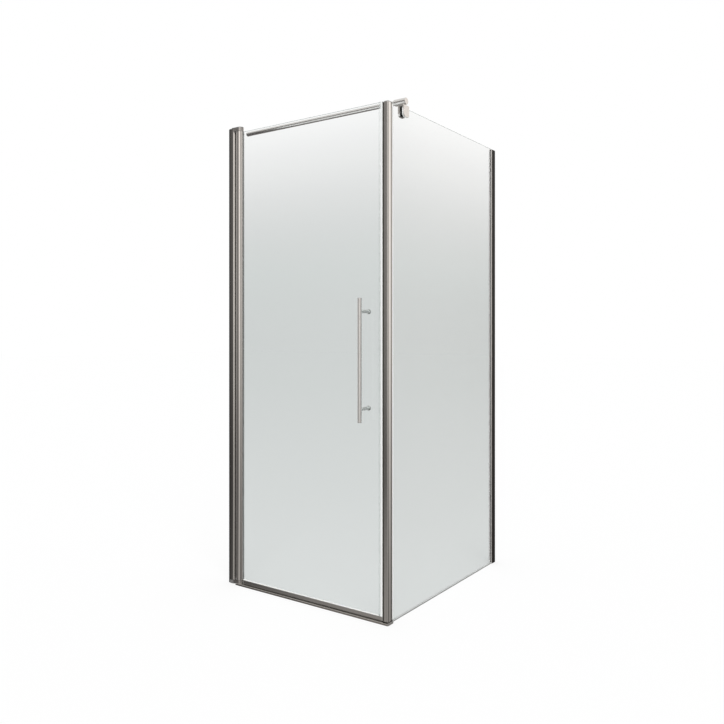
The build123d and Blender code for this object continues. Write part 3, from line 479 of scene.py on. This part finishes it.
# %% The door's magnet seal
SEAL_LEG = (0.97, 0.98, 0.975, 1.0)
SEAL_BODY = ((0.86, 0.87, 0.86, 1.0), (0.93, 0.935, 0.925, 1.0))
SEAL_NOSE = (0.03, 0.027, 0.024, 1.0)
SEAL_ROUGH = (0.06, 0.16)
SEAL_IOR = 1.45
WAVE_NOISE = 40.0
WAVE_REACH = 0.0002


def banded_seal(name, leg_until, nose_from):
    """A clear leg, a white body and a dark nose, by millimetres along X; the borders waver."""
    material, tree, output = new_material(name)
    wave = pattern(tree, EVEN, WAVE_NOISE)
    along = maths(tree, "MULTIPLY_ADD", wave, WAVE_REACH, place_along(tree, "X"))
    is_nose = maths(tree, "GREATER_THAN", along, nose_from * MM)
    is_leg = maths(tree, "LESS_THAN", along, leg_until * MM)
    shader = add_node(tree, "ShaderNodeBsdfPrincipled", IOR=SEAL_IOR)
    body = mixed(tree, "MIX", pattern(tree, EVEN, PLASTIC_CLOUDS), *SEAL_BODY)
    colour = mixed(tree, "MIX", is_nose, mixed(tree, "MIX", is_leg, body, SEAL_LEG), SEAL_NOSE)
    tree.links.new(colour, shader.inputs["Base Color"])
    tree.links.new(is_leg, shader.inputs["Transmission Weight"])
    rough_by(tree, shader, pattern(tree, EVEN, DRAWN_GRAIN), SEAL_ROUGH)
    tree.links.new(shader.outputs[0], output.inputs["Surface"])
    return material


door_seal = banded_seal("door_seal", leg_until=365.8, nose_from=373.9)
print("materials so far:", len(bpy.data.materials))

# %% Gaskets with pale lips and a painted highlight
LIPPED_ROUGH = (0.3, 0.42)
LIPPED_RELIEF = 0.2


def pale_banded(name, axis, pale_until, pale_from, pale_band, body):
    """Pale bands at a seal's two sides, by millimetres along an axis, and a darker body between."""
    material, tree, output = new_material(name)
    along = place_along(tree, axis)
    is_low = maths(tree, "LESS_THAN", along, pale_until * MM)
    is_high = maths(tree, "GREATER_THAN", along, pale_from * MM)
    is_pale_band = maths(tree, "MAXIMUM", is_low, is_high)
    shader = add_node(tree, "ShaderNodeBsdfPrincipled")
    pale = clouded(tree, pale_band, PLASTIC_CLOUDS, PLASTIC_DARKEST)
    tree.links.new(mixed(tree, "MIX", is_pale_band, body + (1.0,), pale), shader.inputs["Base Color"])
    grain = pattern(tree, EVEN, MATT_GRAIN)
    rough_by(tree, shader, grain, LIPPED_ROUGH)
    raised_by(tree, shader, grain, LIPPED_RELIEF, PLASTIC_DEPTH)
    tree.links.new(shader.outputs[0], output.inputs["Surface"])
    return material


# the pale colour is the side gaskets' front lip and also their painted highlight at the back
GASKET_LIP_AND_HIGHLIGHT_COLOURS = {"pale_band": (0.95, 0.94, 0.93), "body": (0.02, 0.02, 0.018)}
FOOT_COLOURS = {"pale_band": (0.66, 0.67, 0.665), "body": (0.15, 0.15, 0.145)}

# painted highlight: from 444 mm the back of the side gaskets is pale, which paints the highlight of
# the profile beside them
gasket_with_painted_highlight = pale_banded("gasket_with_painted_highlight", "Y", 433.2, 444.0, **GASKET_LIP_AND_HIGHLIGHT_COLOURS)
side_seal = pale_banded("side_seal", "Z", -1.0, 3.4, **FOOT_COLOURS)
print("materials so far:", len(bpy.data.materials))

# %% [markdown]
# ## Glass
#
# Clear toughened glass is nearly colourless face on and green along its edge. In this light it
# looks lighter toward the top and a shade lighter at the foot, and that light and shade is painted
# into the panes' tint. A picture of it could be laid on each pane, but a ramp over the height needs
# only a few listed tints. The edge of a pane is ground, which makes it rougher and a deeper green.

# %% Glass
# each tint starts with its height in metres; together the tints paint light and shade by height
GLASS_TINT_AND_PAINTED_LIGHT = (
    (0.00, (0.722, 0.752, 0.746)), (0.20, (0.716, 0.744, 0.738)), (0.40, (0.694, 0.722, 0.715)),
    (0.70, (0.662, 0.690, 0.683)), (0.85, (0.645, 0.675, 0.667)), (1.03, (0.639, 0.667, 0.660)),
    (1.19, (0.645, 0.675, 0.667)), (1.30, (0.657, 0.690, 0.681)), (1.40, (0.678, 0.705, 0.697)),
    (1.48, (0.705, 0.727, 0.722)), (1.54, (0.733, 0.752, 0.746)), (1.60, (0.764, 0.780, 0.776)),
    (1.66, (0.804, 0.818, 0.814)), (1.72, (0.845, 0.858, 0.852)), (1.78, (0.880, 0.890, 0.888)),
    (1.84, (0.925, 0.935, 0.932)), (1.91, (0.975, 0.982, 0.980)),
)
# the side panel reflects a brighter part of the studio than the door, so a painted shade makes its
# tint a little deeper by height
SIDE_PAINTED_SHADE = (
    (0.10, 1.0), (0.37, 0.977), (0.70, 0.956), (1.05, 0.923), (1.20, 0.924), (1.36, 0.945),
    (1.60, 0.96), (1.90, 0.963),
)
RAMP_HEIGHT = 2.0
GLASS_IOR = 1.45
EDGE_TINT = (0.50, 0.62, 0.57)
EDGE_ROUGH = 0.25
GRIND_NOISE = 1200.0
GRIND_DARKEST = 0.85


def glass(name, rough):
    """A glass material, its tree and the socket for its colour."""
    material, tree, output = new_material(name)
    shader = add_node(
        tree, "ShaderNodeBsdfPrincipled", Roughness=rough, IOR=GLASS_IOR, Transmission_Weight=1.0
    )
    tree.links.new(shader.outputs[0], output.inputs["Surface"])
    return material, tree, shader.inputs["Base Color"]


def face_glass(name, share=None):
    """Clear glass whose tint by height paints light and shade; a share by height paints it deeper.
    """
    material, tree, base = glass(name, 0.0)
    height = maths(tree, "DIVIDE", place_along(tree, "Z"), RAMP_HEIGHT)
    # painted light and shade over the glass's faint green: lighter toward the top and at the foot
    colour = ramp(tree, height, [(z / RAMP_HEIGHT, tint) for z, tint in GLASS_TINT_AND_PAINTED_LIGHT])
    if share:
        # painted shade: a share by height makes the side panel's tint deeper
        painted_deeper = ramp(tree, height, [(z / RAMP_HEIGHT, value) for z, value in share])
        colour = mixed(tree, "MULTIPLY", 1.0, colour, painted_deeper)
    tree.links.new(colour, base)
    return material


glass_door = face_glass("glass_door")
glass_side = face_glass("glass_side", SIDE_PAINTED_SHADE)
glass_edge, tree, base = glass("glass_edge", EDGE_ROUGH)
tree.links.new(clouded(tree, EDGE_TINT, GRIND_NOISE, GRIND_DARKEST), base)
print("materials in all:", len(bpy.data.materials))

# %% [markdown]
# ## Softened copies of the CAD solids
#
# No real edge is perfectly sharp, and a sharp one catches no light. Each profile could be drawn
# again with round corners, but the CAD node already has its true shape. So a copy of it is welded,
# its flat triangles are joined into larger faces, and its sharp edges are bevelled by a few tenths
# of a millimetre. Each edge then catches a line of light, and the copy stands for the node.

# %% Copies with rounded edges
WELD = 2e-6
FLAT = math.radians(0.5)
SHARP = math.radians(35)
BEVEL_STEPS = 2
BEVEL_ROUNDNESS = 0.6


def welded_copy(node):
    """A clean mesh of a CAD node: welded, with its flat faces joined."""
    bm = bmesh.new()
    bm.from_mesh(frame["nodes"][node].data)
    bmesh.ops.remove_doubles(bm, verts=bm.verts, dist=WELD)
    bmesh.ops.dissolve_limit(bm, angle_limit=FLAT, verts=bm.verts, edges=bm.edges)
    return bm


def soften(bm, width):
    """Bevels every edge that turns by more than the sharp angle."""
    edges = [edge for edge in bm.edges if edge.is_manifold and edge.calc_face_angle(0) > SHARP]
    bmesh.ops.bevel(
        bm, geom=edges, offset=width, segments=BEVEL_STEPS, profile=BEVEL_ROUNDNESS, affect="EDGES",
        clamp_overlap=True,
    )


def settle(piece):
    """Makes the modifiers of a piece part of its mesh."""
    graph = bpy.context.evaluated_depsgraph_get()
    mesh = bpy.data.meshes.new_from_object(piece.evaluated_get(graph), depsgraph=graph)
    piece.modifiers.clear()
    piece.data = mesh


def object_from(bm, name, finish):
    """A new object from a bmesh; flat faces stay flat and the bevels between them are smooth."""
    mesh = bpy.data.meshes.new(name)
    bm.to_mesh(mesh)
    bm.free()
    mesh.materials.append(finish)
    mesh.shade_smooth()
    mesh.set_sharp_from_angle(angle=SHARP)
    made = bpy.data.objects.new(name, mesh)
    bpy.context.scene.collection.objects.link(made)
    weights = made.modifiers.new("weights", "WEIGHTED_NORMAL")
    weights.keep_sharp = True
    settle(made)
    return made


print("sharp from", round(math.degrees(SHARP)), "degrees")

# %% A piece that stands for a node
def body_of(node):
    """The body that a CAD node rides on."""
    return frame["nodes"][node]["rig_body"]


def slot_of(node):
    """The record's material slot for a CAD node."""
    parts = frame["record"]["subparts"]
    return next(part["material_slot"] for part in parts if part["node"] == node)


def paint(node, finish):
    """A CAD node takes a finish; its shape is left alone."""
    mesh = frame["nodes"][node].data
    mesh.materials.clear()
    mesh.materials.append(finish)


def stand_for(piece, node):
    """The piece takes a node's body and place; the node takes the piece's finish."""
    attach(piece, body_of(node))
    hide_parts(node)
    paint(node, piece.data.materials[0])
    print(piece.name, len(piece.data.polygons), "faces")


def dressed(node, finish, width_mm):
    """A softened copy of a CAD node in its finish stands for it."""
    bm = welded_copy(node)
    soften(bm, width_mm * MM)
    stand_for(object_from(bm, node + "_finished", finish), node)


print("slots:", len({slot_of(node) for node in frame["nodes"]}))

# %% Profiles, caps, blocks and seals
PROFILE_EDGE = 0.3
CAP_EDGE = 0.4
SEAL_EDGE = 0.25
SOFTENED = (
    ("hinge_wall_channel", channel_dark, PROFILE_EDGE),
    ("hinge_expander", silver_upright, PROFILE_EDGE),
    ("hinge_top_cap", cap_silver, CAP_EDGE),
    ("hinge_base_shoe", shoe_grey, CAP_EDGE),
    ("corner_post", silver_upright, PROFILE_EDGE),
    ("post_top_cap", cap_grey, CAP_EDGE),
    ("post_bottom_cap", cap_dark, CAP_EDGE),
    ("side_wall_channel", channel_black, PROFILE_EDGE),
    ("side_adjust_profile", silver_upright, PROFILE_EDGE),
    ("side_top_cap", cap_silver, CAP_EDGE),
    ("threshold_rail", silver_sill, PROFILE_EDGE),
    ("threshold_left_cap", cap_grey, CAP_EDGE),
    ("threshold_right_cap", end_grey, SEAL_EDGE),
    ("door_stile", silver_upright, PROFILE_EDGE),
    ("door_bottom_rail", silver_along, PROFILE_EDGE),
    ("rail_end_caps", cap_grey, SEAL_EDGE),
    ("top_pivot_block", cast_satin, CAP_EDGE),
    ("bottom_pivot_block", cast_satin, CAP_EDGE),
    ("hinge_gap_seal", rubber_dark, SEAL_EDGE),
    ("side_bottom_seal", side_seal, SEAL_EDGE),
    ("brace_clamp_pads", rubber_dark, SEAL_EDGE),
    ("brace_clamp_fork", satin_clamp, CAP_EDGE),
    ("door_magnet_seal", door_seal, SEAL_EDGE),
    ("post_magnet_seal", magnet_dark, SEAL_EDGE),
    ("door_drip_seal", drip_seal_painted_shade, SEAL_EDGE),
    ("post_glazing_gaskets", seal_white, SEAL_EDGE),
    ("side_glazing_gaskets", gasket_with_painted_highlight, SEAL_EDGE),
    ("stile_gaskets", gasket_grey, SEAL_EDGE),
    ("rail_gasket", seal_white, SEAL_EDGE),
)
for node, finish, width in SOFTENED:
    dressed(node, finish, width)

# %% [markdown]
# ## Panes with ground edges
#
# A toughened pane has a small ground chamfer all round, because a sharp edge would start a crack. A
# plain sheet with no thickness would be simpler, but it bends no light and has no green edge. So
# each pane is a softened copy too. Faces that look along its thickness keep the clear finish, and
# the rest take the edge finish. Glass casts no shadow here, because the light that it lets through
# would otherwise be lost.

# %% Panes
EDGE_GRIND = 0.6
FACE_ON = 0.99


def pane(node, axis, face_finish):
    """A glazed copy of a pane stands for it; the axis is the one through its thickness."""
    across = "XYZ".index(axis)
    bm = welded_copy(node)
    soften(bm, EDGE_GRIND * MM)
    for face in bm.faces:
        face.normal_update()
        face.material_index = 0 if abs(face.normal[across]) > FACE_ON else 1
    piece = object_from(bm, node + "_finished", face_finish)
    piece.data.materials.append(glass_edge)
    piece.visible_shadow = False
    piece.visible_diffuse = False
    stand_for(piece, node)


pane("door_glass", "Y", glass_door)
pane("side_glass", "X", glass_side)

# %% [markdown]
# ## Turned parts
#
# The brace bar, its clamp and the handle's grip are round. A copy of the CAD mesh would show its
# flats in the mirror image, so they are turned like on a lathe: a profile of radius against length
# is swept once round an axis in many steps, with smooth shading. Each rim is rounded, as on a real
# turned part.

# %% A small lathe
TURNS = 64
RIM_STEPS = 5
AXES = {
    "X": Matrix(((0, 0, 1), (1, 0, 0), (0, 1, 0))),
    "Z": Matrix.Identity(3),
}


def turned_mesh(profile, axis, place, tube=False):
    """A closed bmesh from (length, radius) pairs in millimetres; a tube's profile is a loop."""
    bm = bmesh.new()
    rings = []
    for along, radius in profile:
        ring = []
        for step in range(TURNS):
            angle = 2 * math.pi * step / TURNS
            local = Vector((radius * math.cos(angle), radius * math.sin(angle), along))
            ring.append(bm.verts.new((AXES[axis] @ local + Vector(place)) * MM))
        rings.append(ring)
    followers = rings[1:] + rings[:1] if tube else rings[1:]
    for first, second in zip(rings, followers):
        for step in range(TURNS):
            after = (step + 1) % TURNS
            bm.faces.new((first[step], first[after], second[after], second[step]))
    if not tube:
        bm.faces.new(rings[0])
        bm.faces.new(rings[-1])
    bmesh.ops.recalc_face_normals(bm, faces=bm.faces)
    return bm


def round_end(radius, edge, at, inward):
    """Profile points for a rounded rim; inward is +1 at the low end and -1 at the high end."""
    points = []
    for step in range(RIM_STEPS + 1):
        angle = math.pi / 2 * step / RIM_STEPS
        along = at + inward * edge * (1 - math.cos(angle))
        points.append((along, radius - edge * (1 - math.sin(angle))))
    return points if inward > 0 else points[::-1]


def rod_profile(low, high, radius, low_edge, high_edge):
    """The profile of a plain rod with rounded rims."""
    return round_end(radius, low_edge, low, 1) + round_end(radius, high_edge, high, -1)


def round_box(node, axis):
    """Ends along the axis, the middle point and the radius of a round node, in millimetres."""
    low, high = (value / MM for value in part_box(node))
    index = "XYZ".index(axis)
    middle = (low + high) / 2
    middle[index] = 0
    cross = (index + 1) % 3
    return low[index], high[index], middle, (high[cross] - low[cross]) / 2


print("lathe ready,", TURNS, "steps a turn")

# %% The brace bar and the grip
TUBE_WALL = 1.5
RIM = 0.4


def tube_part(node, axis, finish):
    """A fine tube stands for a CAD tube: its outside, then back along its bore."""
    low, high, middle, radius = round_box(node, axis)
    profile = rod_profile(low, high, radius, RIM, RIM)
    profile += [(high, radius - TUBE_WALL), (low, radius - TUBE_WALL)]
    bm = turned_mesh(profile, axis, middle, tube=True)
    stand_for(object_from(bm, node + "_finished", finish), node)


tube_part("brace_bar", "X", satin_clamp)
tube_part("handle_bar", "Z", satin_chrome)

# %% [markdown]
# ## The brace's clamp
#
# A round socket takes the end of the brace bar, and a thin disc closes it. They could be one turned
# piece, but the thin dark line where they meet shows on the real one, so both are made, each with
# its own rounded rim. The plug at the wall end has a flange as wide as the bar.

# %% Barrel, end cap and wall plug
BARREL_BORE = 9.1
BARREL_BORE_DEPTH = 30.0
BORE_MIDDLE = 0.5
BARREL_RIM = 1.0
CAP_SPIGOT = 5.0
CAP_THICKNESS = 3.0
PLUG_FLANGE = 3.0
PLUG_SPIGOT_RADIUS = 7.4


def turned_part(node, profile, middle, finish):
    """A piece turned about X stands for its node."""
    stand_for(object_from(turned_mesh(profile, "X", middle), node + "_finished", finish), node)


low, high, middle, radius = round_box("brace_barrel", "X")
bore_end = low + BARREL_BORE_DEPTH
profile = [(bore_end, BORE_MIDDLE), (bore_end, BARREL_BORE), (low, BARREL_BORE)]
profile += rod_profile(low, high, radius, BARREL_RIM, RIM)
turned_part("brace_barrel", profile, middle, satin_clamp)

low, high, middle, radius = round_box("brace_end_cap", "X")
disc_low = high - CAP_THICKNESS
profile = [(low, CAP_SPIGOT), (disc_low, CAP_SPIGOT)]
profile += rod_profile(disc_low, high, radius, RIM, BARREL_RIM)
turned_part("brace_end_cap", profile, middle, satin_clamp)

low, high, middle, radius = round_box("brace_wall_plug", "X")
profile = rod_profile(low, low + PLUG_FLANGE, radius, RIM, RIM)
profile += [(low + PLUG_FLANGE, PLUG_SPIGOT_RADIUS), (high, PLUG_SPIGOT_RADIUS)]
turned_part("brace_wall_plug", profile, middle, steel)

# %% [markdown]
# ## The handle's fittings
#
# Two standoffs hold the grip off the glass. Each one's front is hollowed to fit the round grip,
# which a lathe can't do, so these are softened copies of the CAD nodes. Behind the glass a round
# nut closes each stud, and thin soft washers keep metal off glass. The short neck of the brace's
# clamp is softened in the same way.

# %% Standoffs, nuts, washers and the clamp's neck
for node, finish, width in (
    ("handle_standoffs", chrome, 0.3),
    ("handle_end_caps", chrome, 0.2),
    ("handle_cap_nuts", chrome, 0.3),
    ("handle_washers", gasket_clear, 0.15),
    ("brace_clamp_neck", satin_clamp, 0.3),
):
    dressed(node, finish, width)

# %% [markdown]
# ## Screws by Geometry Nodes
#
# Pan-head screws lock the profiles and hold the pivot blocks. Each could be modelled by itself, but
# screws of one size repeat. So one screw is turned with its thread and its cross recess, and a node
# tree sets a copy on each point. The tree turns each copy by its own random angle, because no two
# screws end up turned alike. The result is made plain before it is used.

# %% One screw
SCREW_STEPS = 96
SHANK = 2.0
POINT_SHARE = 0.6
POINT_LENGTH = SHANK / 2
THREAD_PITCH = 0.7
THREAD_ROOT = SHANK * 0.86
HEAD_RADIUS = 4.0
HEAD_HEIGHT = 2.4
RECESS = 2.3
ARM_SHARE = 0.28
# shares of the head's height and radius up its outside, then of its height and the recess's size
HEAD_OUTSIDE = ((0.0, 1.0), (0.45, 1.0), (0.8, 0.93), (1.0, 0.75))
HEAD_RECESS = ((1.0, 1.0), (0.35, 0.8))


def cross_reach(size, angle):
    """The distance to the edge of a cross with narrow arms, at an angle."""
    arm = size * ARM_SHARE
    quarter = abs((angle + math.pi / 4) % (math.pi / 2) - math.pi / 4)
    return min(size / math.cos(quarter), arm / max(math.sin(quarter), 1e-6))


def screw_rows(length):
    """Rows of (height, size, is it a cross), from a screw's point to its recess's floor."""
    rows = [(-length, SHANK * POINT_SHARE, False), (-length + POINT_LENGTH, SHANK, False)]
    for ridge in range(int((length - SHANK) / THREAD_PITCH)):
        base = -length + POINT_LENGTH + ridge * THREAD_PITCH
        rows.append((base + THREAD_PITCH / 2, THREAD_ROOT, False))
        rows.append((base + THREAD_PITCH, SHANK, False))
    rows.append((0, SHANK, False))
    rows += [(HEAD_HEIGHT * up, HEAD_RADIUS * out, False) for up, out in HEAD_OUTSIDE]
    rows += [(HEAD_HEIGHT * up, RECESS * out, True) for up, out in HEAD_RECESS]
    return rows


def screw_mesh(name, rows, finish):
    """A turned screw from its rows, closed at both ends, which the tree copies."""
    bm = bmesh.new()
    rings = []
    for along, size, is_cross in rows:
        ring = []
        for step in range(SCREW_STEPS):
            angle = 2 * math.pi * step / SCREW_STEPS
            reach = cross_reach(size, angle) if is_cross else size
            place = Vector((reach * math.cos(angle), reach * math.sin(angle), along))
            ring.append(bm.verts.new(place * MM))
        rings.append(ring)
    for first, second in zip(rings, rings[1:]):
        for step in range(SCREW_STEPS):
            after = (step + 1) % SCREW_STEPS
            bm.faces.new((first[step], first[after], second[after], second[step]))
    bm.faces.new(rings[0])
    bm.faces.new(rings[-1])
    bmesh.ops.recalc_face_normals(bm, faces=bm.faces)
    screw = object_from(bm, name, finish)
    screw.hide_render = True
    return screw


print("rows for a 20 mm screw:", len(screw_rows(20.0)))

# %% The node tree
TREE_INPUTS = (
    ("Points", "NodeSocketGeometry"),
    ("Screw", "NodeSocketObject"),
    ("Direction", "NodeSocketVector"),
    ("Seed", "NodeSocketInt"),
    ("Finish", "NodeSocketMaterial"),
)


def screw_tree():
    """A Geometry Nodes tree that sets a screw on each point with its own turn."""
    group = bpy.data.node_groups.new("screw_row", "GeometryNodeTree")
    for name, kind in TREE_INPUTS:
        group.interface.new_socket(name, in_out="INPUT", socket_type=kind)
    group.interface.new_socket("Screws", in_out="OUTPUT", socket_type="NodeSocketGeometry")
    given = group.nodes.new("NodeGroupInput")
    result = group.nodes.new("NodeGroupOutput")
    link = group.links.new
    points = group.nodes.new("GeometryNodeMeshToPoints")
    link(given.outputs["Points"], points.inputs["Mesh"])
    fetched = group.nodes.new("GeometryNodeObjectInfo")
    link(given.outputs["Screw"], fetched.inputs["Object"])
    chance = group.nodes.new("FunctionNodeRandomValue")
    chance.data_type = "FLOAT"
    chance.inputs[3].default_value = 2 * math.pi
    link(given.outputs["Seed"], chance.inputs["Seed"])
    spin = group.nodes.new("FunctionNodeAxisAngleToRotation")
    link(chance.outputs[1], spin.inputs["Angle"])
    aim = group.nodes.new("FunctionNodeAlignRotationToVector")
    aim.axis = "Z"
    link(given.outputs["Direction"], aim.inputs["Vector"])
    turned = group.nodes.new("FunctionNodeRotateRotation")
    turned.rotation_space = "LOCAL"
    link(aim.outputs[0], turned.inputs["Rotation"])
    link(spin.outputs[0], turned.inputs["Rotate By"])
    placed = group.nodes.new("GeometryNodeInstanceOnPoints")
    link(points.outputs[0], placed.inputs["Points"])
    link(fetched.outputs["Geometry"], placed.inputs["Instance"])
    link(turned.outputs[0], placed.inputs["Rotation"])
    real = group.nodes.new("GeometryNodeRealizeInstances")
    link(placed.outputs[0], real.inputs[0])
    painted = group.nodes.new("GeometryNodeSetMaterial")
    link(real.outputs[0], painted.inputs["Geometry"])
    link(given.outputs["Finish"], painted.inputs["Material"])
    link(painted.outputs[0], result.inputs[0])
    return group


SCREW_TREE = screw_tree()
print("screw tree:", len(SCREW_TREE.nodes), "nodes")

# %% A set of screws from the tree
def identifier_of(name):
    """The identifier of a named input of the tree."""
    sockets = SCREW_TREE.interface.items_tree
    inputs = [socket for socket in sockets if socket.in_out == "INPUT"]
    return next(socket.identifier for socket in inputs if socket.name == name)


def screw_set(name, points, screw, direction, seed):
    """A plain object with the screws set on points given in millimetres."""
    mesh = bpy.data.meshes.new(name)
    mesh.from_pydata([Vector(point) * MM for point in points], [], [])
    host = bpy.data.objects.new(name, mesh)
    bpy.context.scene.collection.objects.link(host)
    modifier = host.modifiers.new("screws", "NODES")
    modifier.node_group = SCREW_TREE
    finish = screw.data.materials[0]
    given = {"Screw": screw, "Direction": direction, "Seed": seed, "Finish": finish}
    for socket, value in given.items():
        modifier[identifier_of(socket)] = value
    settle(host)
    return host


def solid_boxes(node):
    """The low and high corner of each separate solid of a CAD node, in millimetres."""
    bm = welded_copy(node)
    boxes = []
    waiting = set(bm.verts)
    while waiting:
        stack = [waiting.pop()]
        found = []
        while stack:
            vert = stack.pop()
            found.append(vert.co / MM)
            for edge in vert.link_edges:
                other = edge.other_vert(vert)
                if other in waiting:
                    waiting.discard(other)
                    stack.append(other)
        low = Vector(min(place[i] for place in found) for i in range(3))
        high = Vector(max(place[i] for place in found) for i in range(3))
        boxes.append((low, high))
    bm.free()
    return sorted(boxes, key=lambda pair: tuple(pair[0]))


print("tree inputs:", [identifier_of(name) for name, _ in TREE_INPUTS])

# %% Place the screws
def headed_set(node, axis, sign, seed):
    """Screws stand for a CAD node; their heads look along an axis, up it for +1 or down for -1."""
    index = "XYZ".index(axis)
    boxes = solid_boxes(node)
    low, high = boxes[0]
    length = high[index] - low[index] - HEAD_HEIGHT
    screw = screw_mesh(node + "_pattern", screw_rows(length), steel)
    points = []
    for low, high in boxes:
        seat = (low + high) / 2
        seat[index] = high[index] - HEAD_HEIGHT if sign > 0 else low[index] + HEAD_HEIGHT
        points.append(seat)
    direction = [0.0, 0.0, 0.0]
    direction[index] = float(sign)
    print(len(points), "screws", round(length, 1), "mm under the head")
    stand_for(screw_set(node + "_finished", points, screw, direction, seed), node)


headed_set("hinge_lock_screws", "Y", 1, seed=3)
headed_set("pivot_block_screws", "Y", 1, seed=5)
headed_set("side_lock_screws", "X", -1, seed=8)

# %% [markdown]
# ## Everything else
#
# The remaining parts sit inside others or hardly show. Finer meshes of them would add nothing to
# see, so they keep their CAD shape and take a finish.

# %% Finishes for the CAD parts
KEPT = {
    "pivot_pins": steel,
    "handle_studs": steel,
    "brace_grub_screws": steel,
    "thrust_washers": nylon,
    "pivot_bushes": nylon,
    "stile_top_plug": nylon,
    "stile_bottom_plug": nylon,
    "handle_sleeves": nylon,
    "post_magnet_core": magnet_dark,
    "door_magnet_core": magnet_dark,
}
for node, finish in KEPT.items():
    paint(node, finish)
print("nodes that keep their CAD shape:", len(KEPT))
